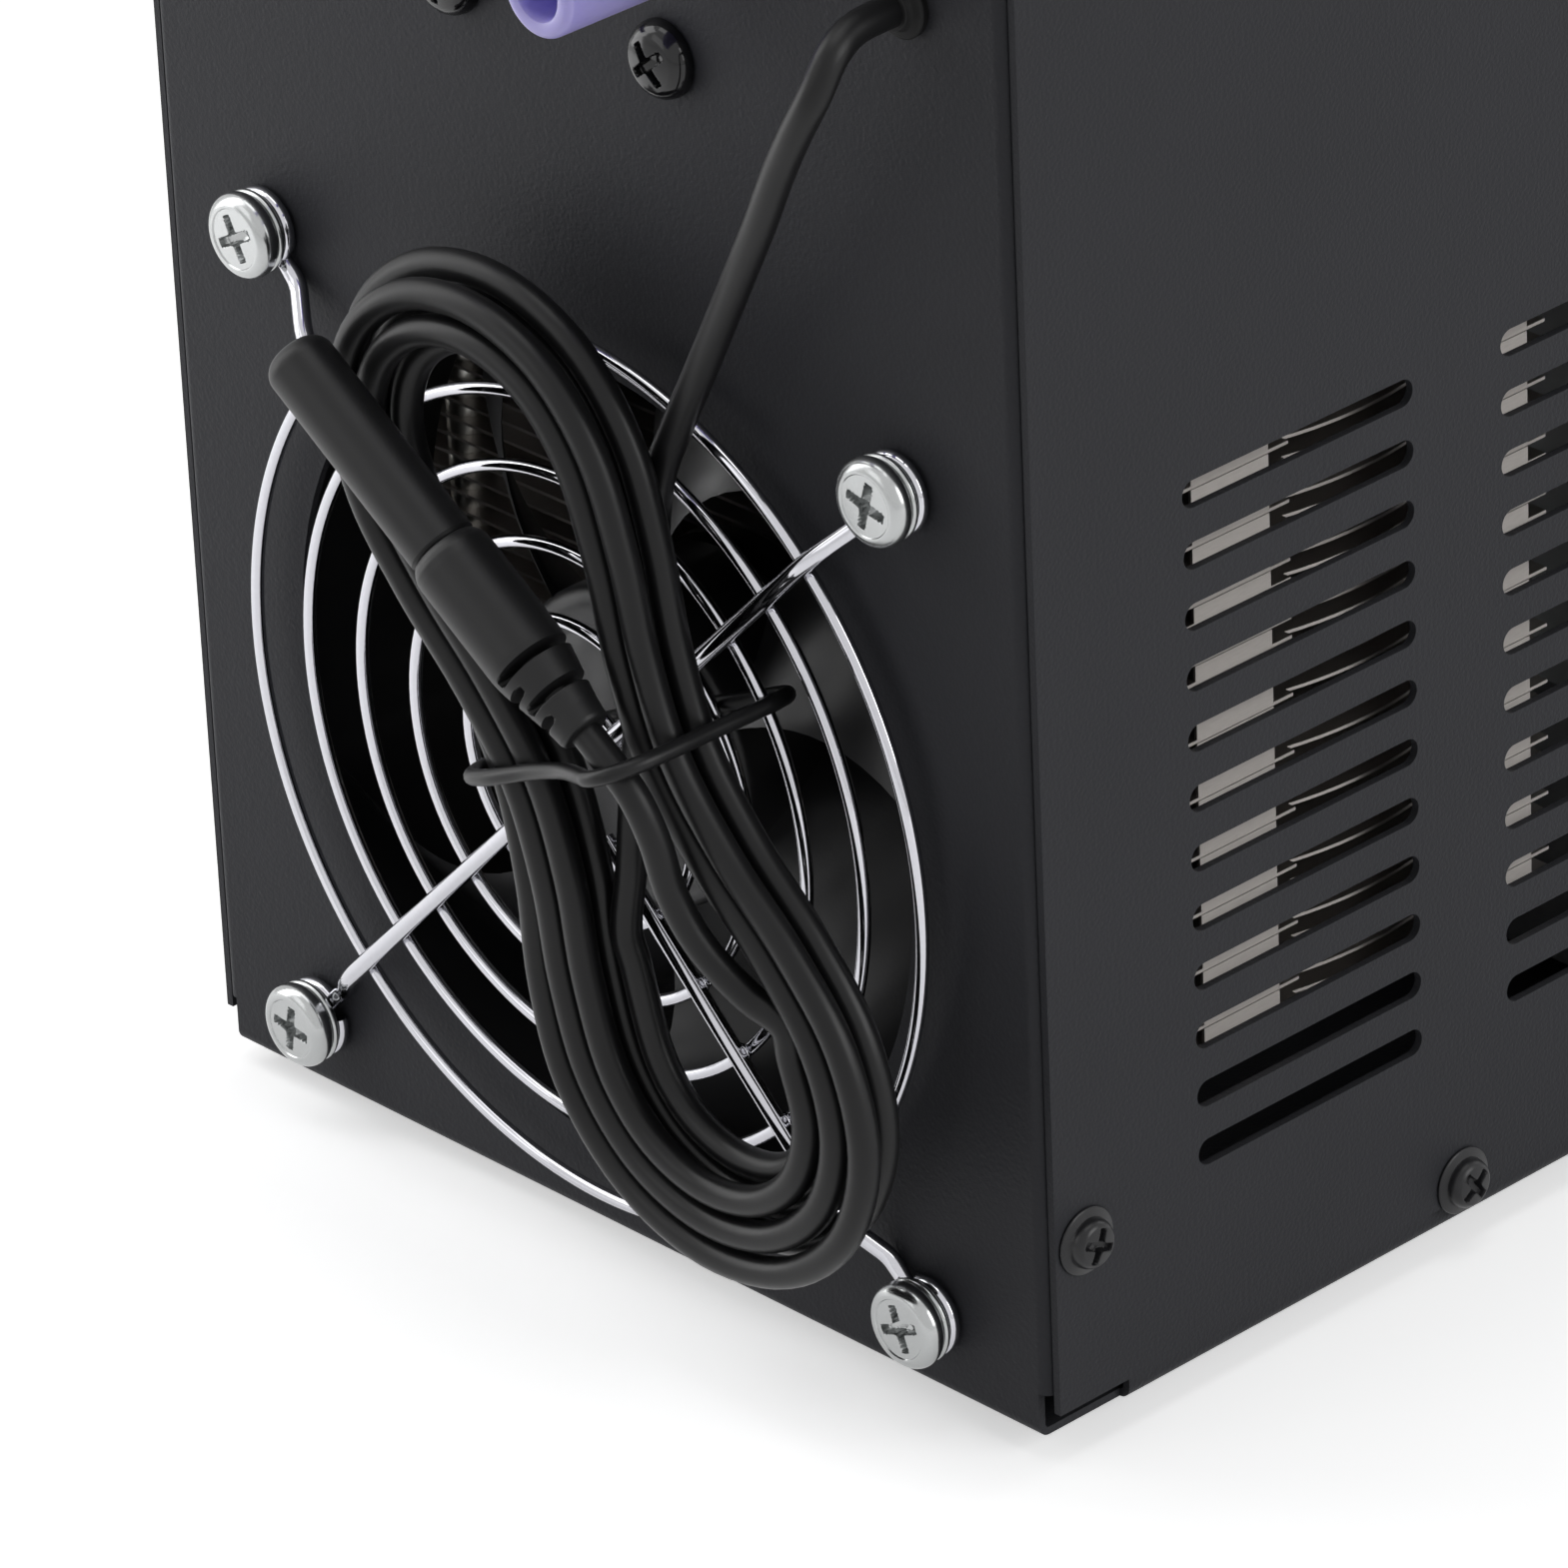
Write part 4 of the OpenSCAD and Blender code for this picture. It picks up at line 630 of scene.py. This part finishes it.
# The cuts open to one side and the other by turns, and each leaves a round core. A cut ends a
# little past the boot's axis, where it narrows to a round end and fades out; its edges are soft.
CUTS, CUT_FIRST, CUT_PITCH = 4, 3, 2.3
CUT_HALF, CUT_CORE_R = 0.5, 1.95
CUT_PAST_AXIS, CUT_ROUND, CUT_LEAST = 1.1, 0.55, 0.02
CUT_FADE = (-1.15, -0.85)
CUT_EDGE_IN, CUT_EDGE_OUT = 0.13, 0.1
SLEEVE_LEN, SLEEVE_D, SLEEVE_DOME, DOME_STEPS = 30, 8.4, 2.4, 12
# The sleeve's end at the boot, as (less than its radius, height)
SLEEVE_MOUTH = ((0.5, 0.02), (0.35, 0.25), (0, 0.6))


def probe_frame(reach):
    """The point reach along the probe, the probe's axis and the direction across it."""
    c, s = cos_sin(PROBE_TURN)
    axis = np.array((c, 0, s))
    return place((PROBE_X, PROBE_OFF, PROBE_Z)) + reach * axis, axis, np.array((s, 0, -c))


def make_boot():
    at, axis, side = probe_frame(0)
    heights = np.concatenate([
        np.arange(0, CUTS_END, CUTS_STEP),
        np.arange(CUTS_END, BOOT_SHOULDER, GRIP_STEP),
        np.linspace(BOOT_SHOULDER, BOOT_LEN, SHOULDER_ROWS),
    ])
    angles = np.linspace(0, 2 * math.pi, PROBE_SIDES, endpoint=False)
    rows = []
    for h in heights:
        full_r = np.interp(h, BOOT_OUTLINE[:, 0], BOOT_OUTLINE[:, 1])
        radius = np.full(PROBE_SIDES, full_r)
        for i in range(CUTS):
            across = (-1) ** i * np.cos(angles) * full_r
            narrowed = np.clip((across + CUT_PAST_AXIS) / CUT_ROUND, CUT_LEAST, 1)
            wide = CUT_HALF * np.sqrt(narrowed)
            off_middle = np.abs(h - CUT_FIRST - CUT_PITCH * i)
            depth = 1 - ease(off_middle, wide - CUT_EDGE_IN, wide + CUT_EDGE_OUT)
            radius = radius - depth * ease(across, *CUT_FADE) * (full_r - CUT_CORE_R)
        rows.append([
            at + h * axis + r * (math.cos(a) * side + math.sin(a) * np.array(Y))
            for r, a in zip(radius, angles)
        ])
    return piece("boot", *round_grid(rows), PROBE, replaces=("probe_boot",), crease=60)


def make_sleeve():
    at, axis, _ = probe_frame(BOOT_LEN)
    r, dome_at = SLEEVE_D / 2, SLEEVE_LEN - SLEEVE_DOME
    mouth = [(r - less, h) for less, h in SLEEVE_MOUTH]
    profile = [(0, mouth[0][1]), *mouth]
    profile += arc(r - SLEEVE_DOME, dome_at, SLEEVE_DOME, 0, 90, DOME_STEPS)
    profile += [(0, SLEEVE_LEN)]
    skin = lathe(profile, at, axis, PROBE_SIDES)
    return piece("sleeve", *skin, PROBE, replaces=("probe_sleeve",))


# ---------------------------------------------------------------- screws

# Head: outline from the seat to the face's rim as (radius, height), then the face's rim radius,
# its height and its crown, then the cross recess's length, arm width and depth.
# Shank: (radius, height) from its tip to just above the seat, and its sides.
GUARD_SCREW = dict(
    outline=[
        (2.2, 0.02), (5.0, 0.02), *arc(4.75, 0.45, 0.45, -70, 80, 6), (4.75, 0.98), (4.78, 1.1),
        *arc(3.75, 2.0, 1.6, -34, 74, 12), (3.95, 3.58), (3.8, 3.56),
    ],
    face=(3.68, 3.42, 0.06),
    recess=(5.9, 1.3, 1.9),
    shank=[(0, -13.8), (1.7, -13.8), (2.05, -13.2), (2.05, 0.3), (0, 0.3)],
    sides=32,
)
BRACKET_SCREW = dict(
    outline=[
        (1.9, 0.02), (4.45, 0.02), (4.68, 0.18), (4.7, 0.4),
        *shoulder(4.7, 0.4, 1.9, 2.35, np.linspace(0.1, 1.25, 12)),
    ],
    face=(3.3, 2.68, 0.5),
    recess=(5.5, 1.25, 1.7),
    shank=[(0, -6.9), (1.7, -6.9), (1.98, -6.4), (1.98, 0.3), (0, 0.3)],
    sides=32,
)
COVER_SCREW = dict(
    outline=[
        (1.6, 0.02), (4.0, 0.02), *arc(3.98, 0.24, 0.22, -80, 80, 5), (3.4, 0.62), (3.16, 0.72),
        *shoulder(3.1, 0.9, 0.95, 1.4, np.linspace(0, 1.2, 10)),
    ],
    face=(2.42, 2.26, 0.22),
    recess=(4.4, 1.1, 1.3),
    shank=[(0, -4.9), (1.2, -4.9), (1.48, -4.4), (1.48, 0.3), (0, 0.3)],
    sides=24,
)
HEAD_SIDES, FACE_RINGS, FACE_CENTRE_R = 88, 44, 0.06
# The recess: its arms widen by a share towards the middle, within a reach in half widths, and
# taper outwards; a fillet joins them, by its place and radius in half widths. Its walls slope
# between two distances from their line, and its floor rises outwards by a share.
ARM_WIDENS, ARM_REACH, ARM_TAPER = 0.35, 2.2, 0.18
FILLET_AT, FILLET_R = 1.45, 0.45
RECESS_EDGE = (-0.16, 0.05)
FLOOR_RISE = 0.45
# From a screw's axis to the edge of its CAD head, and the guard's seat above the panel
GUARD_HEAD_R, BRACKET_HEAD_R, COVER_HEAD_R = 5.45, 4.7, 4.2
GUARD_SEAT = 2.2
GUARD_SPINS = (14, -21, -15, 20)
BRACKET_SPINS = (31, -12)
COVER_SPINS = (23, 54, 85, 116)
COVER_LOW_INSET = 62
SCREW_CREASE = 40


def cross_head(at, axis, spin, outline, face, recess):
    """A turned head with a cross recess, spun about its axis by degrees."""
    face_r, face_h, crown = face
    half, arm, deep = recess[0] / 2, recess[1] / 2, recess[2]
    corner = FILLET_AT * arm
    axis, side, other = cross_sides(axis, HEAD_HINT)
    c, s = cos_sin(spin)
    side, other = c * side + s * other, c * other - s * side
    angles = np.linspace(0, 2 * math.pi, HEAD_SIDES, endpoint=False)

    def point(r, h, a):
        return at + h * axis + r * (math.cos(a) * side + math.sin(a) * other)

    rows = [[point(r, h, a) for a in angles] for r, h in outline]
    for r in np.linspace(face_r, FACE_CENTRE_R, FACE_RINGS):
        row = []
        for a in angles:
            x, y = abs(r * math.cos(a)), abs(r * math.sin(a))
            u, v = max(x, y), min(x, y)
            width = arm * (1 + ARM_WIDENS * max(0, 1 - u / (ARM_REACH * arm)) ** 2)
            wall = max(v - width * (1 - ARM_TAPER * u / half), u - half)
            near = math.hypot(max(0, corner - u), max(0, corner - v)) - FILLET_R * arm
            if near > 0 and u < corner:
                wall = min(wall, -near)
            depth = (1 - ease(wall, *RECESS_EDGE)) * deep * (1 - FLOOR_RISE * u / half)
            row.append(point(r, face_h + crown * (1 - (r / face_r) ** 2) - depth, a))
        rows.append(row)
    return round_grid(rows)


def screw_set(name, node, kind, spots, look, slot):
    """A node's screws as one piece; spots are (place, axis, spin)."""
    parts = []
    for at, axis, spin in spots:
        parts.append(cross_head(at, axis, spin, kind["outline"], kind["face"], kind["recess"]))
        parts.append(lathe(kind["shank"], at, axis, kind["sides"]))
    piece(name, *merge(parts), look, replaces=(node,), slot=slot, crease=SCREW_CREASE)


def make_guard_screws():
    low, high = cad_box("guard_screws")
    xs = (low[0] + GUARD_HEAD_R, high[0] - GUARD_HEAD_R)
    zs = (low[2] + GUARD_HEAD_R, high[2] - GUARD_HEAD_R)
    ats = [(x, PANEL_Y + GUARD_SEAT, z) for x in xs for z in zs]
    spots = [(at, Y, spin) for at, spin in zip(ats, GUARD_SPINS)]
    screw_set("guard_screw_set", "guard_screws", GUARD_SCREW, spots, ZINC, "zinc")


def make_bracket_screws():
    low, high = cad_box("bracket_screws")
    z = (low[2] + high[2]) / 2
    xs = (low[0] + BRACKET_HEAD_R, high[0] - BRACKET_HEAD_R)
    spots = [((x, PANEL_Y, z), Y, spin) for x, spin in zip(xs, BRACKET_SPINS)]
    screw_set(
        "bracket_screw_set", "bracket_screws", BRACKET_SCREW, spots, GLOSS_BLACK, "black_screw"
    )


def make_cover_screws():
    low, high = cad_box("cover_screws")
    wall = cad_box("cover")[1][0]
    middle, reach = (low[1] + high[1]) / 2, (high[1] - low[1]) / 2 - COVER_HEAD_R
    rows = ((reach, high[2] - COVER_HEAD_R), (reach - COVER_LOW_INSET, low[2] + COVER_HEAD_R))
    ats = [(middle + e * out, z) for out, z in rows for e in (-1, 1)]
    spots = [
        ((s * wall, y, z), (s, 0, 0), spin)
        for s in (-1, 1)
        for (y, z), spin in zip(ats, COVER_SPINS)
    ]
    screw_set("cover_screw_set", "cover_screws", COVER_SCREW, spots, BLACK_SCREW, "black_screw")


# ---------------------------------------------------------------- guard

RING_OFF, RING_WIRE, RIB_WIRE = 3.0, 1.6, 2.2
RINGS, RING_FIRST_R, RING_PITCH = 6, 9.7, 9.3
RING_R = [RING_FIRST_R + RING_PITCH * i for i in range(RINGS)]
RING_SIDES, RING_STEPS_PER_MM, LEAST_RING_STEPS = 16, 4, 72
CORNERS, HOLE_SPACING = (45, 135, 225, 315), 105
EYE_PLACE = HOLE_SPACING / math.sqrt(2)
EYE_OFF, EYE_R, EYE_WIRE_R, EYE_SIDES, EYE_STEPS = 1.12, 4.1, 1.0, 14, 40
EYE_START, EYE_END = 180, -150
# The rib's gap to the rings, its start inside the first ring, and the radii where its leg bends
# down, bends out again and ends
RIB_GAP, RIB_START_IN = 0.03, 1.5
LEG_BENDS, LEG_ASIDE, LEG_END_R = (59.3, 66.4, 69.2), 0.1, 0.95
# A bend's radius, its steps, and the most of a run that it takes
LEG_BEND_R, LEG_BEND_STEPS, BEND_SHARE = 3.2, 5, 0.45
# A resistance weld's place above the ring's middle, and its (distance, radius) along the rib
WELD_UP = 0.72
WELD = ((-1.15, 0.12), (-0.7, 0.5), (0, 0.72), (0.7, 0.5), (1.15, 0.12))
WELD_SIDES = 10


def rod_points(points):
    """A bent rod's line: straight runs with a round bend at each inner point."""
    line = [points[0]]
    for a, b, c in zip(points[:-2], points[1:-1], points[2:]):
        into, out = unit(b - a), unit(c - b)
        reach = min(LEG_BEND_R, *(BEND_SHARE * np.linalg.norm(run) for run in (b - a, c - b)))
        start, end = b - into * reach, b + out * reach
        for t in np.linspace(0, 1, LEG_BEND_STEPS + 1):
            line.append((1 - t) ** 2 * start + 2 * t * (1 - t) * b + t * t * end)
    return [*line, points[-1]]


def make_guard():
    parts = []
    for radius in RING_R:
        steps = max(LEAST_RING_STEPS, int(radius * RING_STEPS_PER_MM))
        circle = [
            (radius * math.cos(a), PANEL_Y + RING_OFF, FAN_Z + radius * math.sin(a))
            for a in np.linspace(0, 2 * math.pi, steps, endpoint=False)
        ]
        parts.append(tube(circle, RING_WIRE / 2, RING_SIDES, closed=True))
    top = RING_OFF + RING_WIRE / 2 + RIB_WIRE / 2 + RIB_GAP
    for corner in CORNERS:
        c, s = cos_sin(corner)
        along, across = np.array((c, 0, s)), np.array((-s, 0, c))

        def at(r, off, aside=0.0):
            return along * r + across * aside + np.array((0, PANEL_Y + off, FAN_Z))

        down, foot, end = LEG_BENDS
        leg = [at(RING_R[0] - RIB_START_IN, top), at(down, top)]
        leg += [at(foot, EYE_OFF, LEG_ASIDE), at(end, EYE_OFF, LEG_ASIDE)]
        line = rod_points(leg)
        eye = [
            at(EYE_PLACE + EYE_R * c, EYE_OFF, EYE_R * s)
            for c, s in (cos_sin(a) for a in np.linspace(EYE_START, EYE_END, EYE_STEPS))
        ]
        # The wire's end is bent into the eye, so the leg runs into it at one side
        radii = [RIB_WIRE / 2] * (len(line) - 1) + [EYE_WIRE_R, LEG_END_R]
        parts.append(tube([*line, eye[0]], radii, RING_SIDES))
        parts.append(tube(eye, EYE_WIRE_R, EYE_SIDES))
        for radius in RING_R:
            weld = [at(radius + d, RING_OFF + WELD_UP) for d, _ in WELD]
            parts.append(tube(weld, [r for _, r in WELD], WELD_SIDES))
    solids = ("fan_guard", "guard_rings")
    piece("guard", *merge(parts), CHROME, replaces=solids, slot="guard_chrome", crease=50)


# ---------------------------------------------------------------- hose stubs and bush

STUB_BORE_R, STUB_BEVEL, STUB_LIP = 3.3, 0.3, 0.95
# The bore's end as (widening, distance in from the end)
STUB_FLARE = ((0.5, 0), (0.14, 0.14), (0, 0.5), (0, 8))
STUB_SIDES = 96
BUSH_SIDES = 64
# Radius and distance off the panel: collar in the hole, flange, and a lip round the cord
BUSH_OUT = [
    (3.5, 0.02), (3.7, 0.02), *arc(3.35, 0.75, 0.45, -40, 80, 7), (3.1, 1.28), (2.75, 1.4),
    (2.55, 1.75), *arc(2.3, 2.05, 0.2, 0, 90, 4), (0, 2.25),
]
BUSH_COLLAR_R, BUSH_BEVEL_R, BUSH_BEVEL = 3.5, 3.2, 0.4


def make_stubs():
    for node in ("inlet_stub", "outlet_stub"):
        low, high = cad_box(node)
        x, _, z = (low + high) / 2
        r, end = (high[0] - low[0]) / 2, high[1] - low[1]
        profile = [(STUB_BORE_R, 0), (r - STUB_BEVEL, 0), (r, STUB_BEVEL)]
        profile += arc(r - STUB_LIP, end - STUB_LIP, STUB_LIP, 0, 90, ROUND_STEPS)
        profile += [(STUB_BORE_R + wide, end - deep) for wide, deep in STUB_FLARE]
        skin = lathe([*profile, profile[0]], (x, low[1], z), Y, STUB_SIDES)
        piece(node + "_tube", *skin, STUB, replaces=(node,), slot="stub_plastic", crease=45)


def make_bush():
    back = cad_box("cord_bush")[0][1] - PANEL_Y
    profile = [(0, back), (BUSH_BEVEL_R, back), (BUSH_COLLAR_R, back + BUSH_BEVEL), *BUSH_OUT]
    skin = lathe(profile, place((BUSH[0], 0, BUSH[2])), Y, BUSH_SIDES)
    piece("bush", *skin, RUBBER, replaces=("cord_bush",), slot="rubber", crease=40)


# ---------------------------------------------------------------- fan

HUB_R, HUB_FACE, HUB_BACK = 20.0, -4.0, -21.0
HUB_ROUND, HUB_BEVEL, HUB_SIDES = 2, 0.3, 96
HUB_CUP_R, HUB_BOSS_R, HUB_BORE_R = 18.4, 4.0, 1.55
HUB_CUP_IN, HUB_BOSS_IN, HUB_BORE_IN = 2, 4, 1
# A shallow ring groove in the hub's face, as (radius, depth)
HUB_GROOVE = ((0, 0), (14.6, 0), (14.9, 0.25), (15.5, 0.25), (15.8, 0))
TIP_R, ROOT_R = 56.3, 19.7
# Sweep from root to tip and twist from top to bottom in degrees; a blade thins towards its tip
BLADES, SWEEP, TWIST = 7, 30.0, 34.0
BLADE_TOP, BLADE_DEPTH, BLADE_T, BLADE_THINS = -5.0, 15.0, 1.8, 0.25
SPAN_STEPS, CHORD_STEPS = 14, 16


def make_hub():
    cup, boss, bore = (HUB_FACE - deep for deep in (HUB_CUP_IN, HUB_BOSS_IN, HUB_BORE_IN))
    profile = [(r, HUB_FACE - deep) for r, deep in HUB_GROOVE]
    profile += arc(HUB_R - HUB_ROUND, HUB_FACE - HUB_ROUND, HUB_ROUND, 90, 0, ROUND_STEPS)
    profile += [(HUB_R, HUB_BACK + HUB_BEVEL), (HUB_R - HUB_BEVEL, HUB_BACK)]
    profile += [(HUB_CUP_R, HUB_BACK), (HUB_CUP_R, cup), (HUB_BOSS_R, cup), (HUB_BOSS_R, boss)]
    profile += [(HUB_BORE_R, boss), (HUB_BORE_R, bore), (0, bore)]
    return lathe(profile, (0, PANEL_Y, FAN_Z), Y, HUB_SIDES)


def make_blades():
    """Swept, twisted blades with round edges, on the CAD blades' own places."""
    # Once round a section: out along one side and back along the other
    around = [(k / CHORD_STEPS, 1) for k in range(CHORD_STEPS + 1)]
    around += [(k / CHORD_STEPS, -1) for k in range(CHORD_STEPS - 1, 0, -1)]
    parts = []
    for blade in range(BLADES):
        rows = []
        for q in np.linspace(0, 1, SPAN_STEPS + 1):
            r = ROOT_R + q * (TIP_R - ROOT_R)
            row = []
            for t, side in around:
                thick = BLADE_T * math.sqrt(1 - (2 * t - 1) ** 4) * (1 - BLADE_THINS * q)
                lean = SWEEP * q * q + side * math.degrees(thick / 2 / r) - TWIST * t
                c, s = cos_sin(lean - blade * 360 / BLADES)
                row.append((r * c, PANEL_Y + BLADE_TOP - BLADE_DEPTH * t, FAN_Z + r * s))
            rows.append(row)
        parts.append(round_grid(rows))
    return merge(parts)


def make_fan():
    skin = merge([make_hub(), make_blades()])
    solids = ("fan_impeller",)
    piece("impeller", *skin, FAN_BLACK, "rotor", replaces=solids, slot="fan_plastic", crease=50)


# ---------------------------------------------------------------- front, switch and feet

CORNER_STEPS = 6
# Bezel: (less than its width and height, corner radius, depth from its face), from its side to
# its opening, whose outlines are more than the window's
BEZEL_EDGE = ((0, 2.4, 1.1), (0.5, 2.2, 0.4), (1.6, 1.8, 0.03))
BEZEL_OPENING = ((2.6, 1.4, 0.03), (1.8, 1.1, 0.2), (0.3, 0.4, 0.85), (0.1, 0.3, 1.0))
WINDOW_CORNER, WINDOW_BEVEL, WINDOW_EDGE = 0.3, 0.5, 0.35
BUTTONS = {"set_button": "set_key", "up_button": "up_key", "down_button": "down_key"}
# Button: a dished face and a round rim, as (radius, distance in from the face)
BUTTON_FACE = [(0, 0.28), (1.2, 0.24), (2.3, 0.12), (2.9, 0.02), *arc(3.3, 0.7, 0.7, -90, 0, 6)]
BUTTON_R, BUTTON_STEM_R, BUTTON_SIDES = 4.0, 1.5, 64
# The flange lies just behind the front sheet
BUTTON_FLANGE_IN, BUTTON_FLANGE_T = 1.05, 1
# Foot: a hollow for its screw and a rounded tread as (radius, height), and its flared top as
# (radius, distance below the case)
FOOT_TREAD = [
    (0, 0.9), (2.3, 0.9), (2.5, 0.7), (2.5, 0.15), (2.9, 0.0), *arc(4.9, 0.6, 0.6, -90, -14, 5),
]
FOOT_R, FOOT_SIDES = 7.0, 48
FOOT_TOP = ((6.5, 1.0), (6.95, 0.6), (FOOT_R, 0), (0, 0))
# Rocker: half its section as (along, out from the pivot), which goes on with a tip as (along,
# share of the rise, drop) and a hollow that meets the other half's in a soft ridge
ROCKER_W, ROCKER_HALF, ROCKER_TILT, ROCKER_TOP = 8.5, 7.95, 10, 3.5
ROCKER_SIDE = [(6.6, -3), (7.6, -1.6), (ROCKER_HALF, 0.4), (ROCKER_HALF - 0.25, 2.2)]
ROCKER_TIP = ((7.35, 0.86, 0.2), (6.9, 0.84, 0))
ROCKER_HOLLOW, ROCKER_RIDGE, HOLLOW_SPAN = 0.5, 3.36, np.linspace(0.8, 0.1, 7)
# Its softened sides as (distance in from the side, inset along and out)
ROCKER_EDGE = ((0, 0.35, 0.315), (0.1, 0.12, 0.108), (0.35, 0, 0))
PIVOT_IN = 4
PIN = [(0, -4.9), (1.3, -4.9), (1.5, -4.7), (1.5, 4.7), (1.3, 4.9), (0, 4.9)]
PIN_SIDES = 32


def round_rect(w, h, r):
    """Points round a rectangle with round corners about the origin, counterclockwise."""
    out = []
    for cx, cy, start in ((1, 1, 0), (-1, 1, 90), (-1, -1, 180), (1, -1, 270)):
        out += arc(cx * (w / 2 - r), cy * (h / 2 - r), r, start, start + 90, CORNER_STEPS)
    return out


def front_skin(levels, face, z, ring=False):
    """A skin through outlines that look out of the front, each at its height above face."""
    rows = [[(-x, face - height, z + y) for x, y in outline] for outline, height in levels]
    return round_grid(rows, ring)


def make_bezel():
    low, high = cad_box("display_bezel")
    w, t, h = high - low
    window_low, window_high = cad_box("display_window")
    ww, _, wh = window_high - window_low
    levels = [(round_rect(w - less, h - less, r), t - deep) for less, r, deep in BEZEL_EDGE]
    levels += [(round_rect(ww + more, wh + more, r), t - deep) for more, r, deep in BEZEL_OPENING]
    levels = [(levels[0][0], 0), *levels, (levels[-1][0], 0)]
    skin = front_skin(levels, FRONT_Y, (low[2] + high[2]) / 2, ring=True)
    piece("bezel", *skin, MOULDED, replaces=("display_bezel",), slot="black_plastic", crease=40)


def make_window():
    low, high = cad_box("display_window")
    w, t, h = high - low
    side = round_rect(w, h, WINDOW_CORNER)
    face = round_rect(w - WINDOW_BEVEL, h - WINDOW_BEVEL, WINDOW_CORNER)
    levels = [(side, 0), (side, t - WINDOW_EDGE), (face, t)]
    skin = front_skin(levels, high[1], (low[2] + high[2]) / 2)
    piece("window", *skin, WINDOW, replaces=("display_window",), slot="window", crease=30)


def make_buttons():
    for node, body in BUTTONS.items():
        low, high = cad_box(node)
        x, _, z = (low + high) / 2
        wide, end = (high[0] - low[0]) / 2, high[1] - low[1]
        flange = FRONT_Y + BUTTON_FLANGE_IN - low[1]
        back = flange + BUTTON_FLANGE_T
        profile = BUTTON_FACE + [(BUTTON_R, flange), (wide, flange), (wide, back)]
        profile += [(BUTTON_STEM_R, back), (BUTTON_STEM_R, end), (0, end)]
        skin = lathe(profile, (x, low[1], z), Y, BUTTON_SIDES)
        piece(
            node + "_cap", *skin, BUTTON, body, replaces=(node,), slot="black_plastic", crease=40
        )


def make_feet():
    low, high = cad_box("feet")
    profile = FOOT_TREAD + [(r, high[2] - below) for r, below in FOOT_TOP]
    xs, ys = ((low[k] + FOOT_R, high[k] - FOOT_R) for k in (0, 1))
    parts = [lathe(profile, (x, y, 0), Z, FOOT_SIDES) for x in xs for y in ys]
    piece("feet_set", *merge(parts), RUBBER, replaces=("feet",), slot="rubber")


def make_rocker():
    low, high = cad_box("rocker")
    x, _, z = (low + high) / 2
    pivot = cad_box("switch_frame")[1][1] - PIVOT_IN
    c, s = cos_sin(ROCKER_TILT)
    rise = ROCKER_HALF * s / c
    half = ROCKER_SIDE + [(a, ROCKER_TOP + rise * q - drop) for a, q, drop in ROCKER_TIP]
    half += [
        (ROCKER_HALF * t, ROCKER_TOP + rise * t - ROCKER_HOLLOW * math.sin(math.pi * t))
        for t in HOLLOW_SPAN
    ]
    section = half + [(0, ROCKER_RIDGE)] + [(-a, b) for a, b in reversed(half)]
    edges = [(aside - ROCKER_W / 2, *inset) for aside, *inset in ROCKER_EDGE]
    edges += [(ROCKER_W / 2 - aside, *inset) for aside, *inset in reversed(ROCKER_EDGE)]
    rows = []
    for k, inset, lower in edges:
        row = []
        for a, b in section:
            a, b = a * (1 - inset / ROCKER_HALF), b - math.copysign(lower, b)
            row.append((x + a * c - b * s, pivot + a * s + b * c, z + k))
        rows.append(row)
    skin = merge([round_grid(rows), lathe(PIN, (x, pivot, z), Z, PIN_SIDES)])
    piece(
        "rocker_cap", *skin, BUTTON, "power_switch", replaces=("rocker",), slot="black_plastic",
        crease=32,
    )


make_cord()
make_guard_screws()
make_bracket_screws()
make_cover_screws()
make_guard()
make_stubs()
make_bush()
make_fan()
make_bezel()
make_window()
make_buttons()
make_feet()
make_rocker()
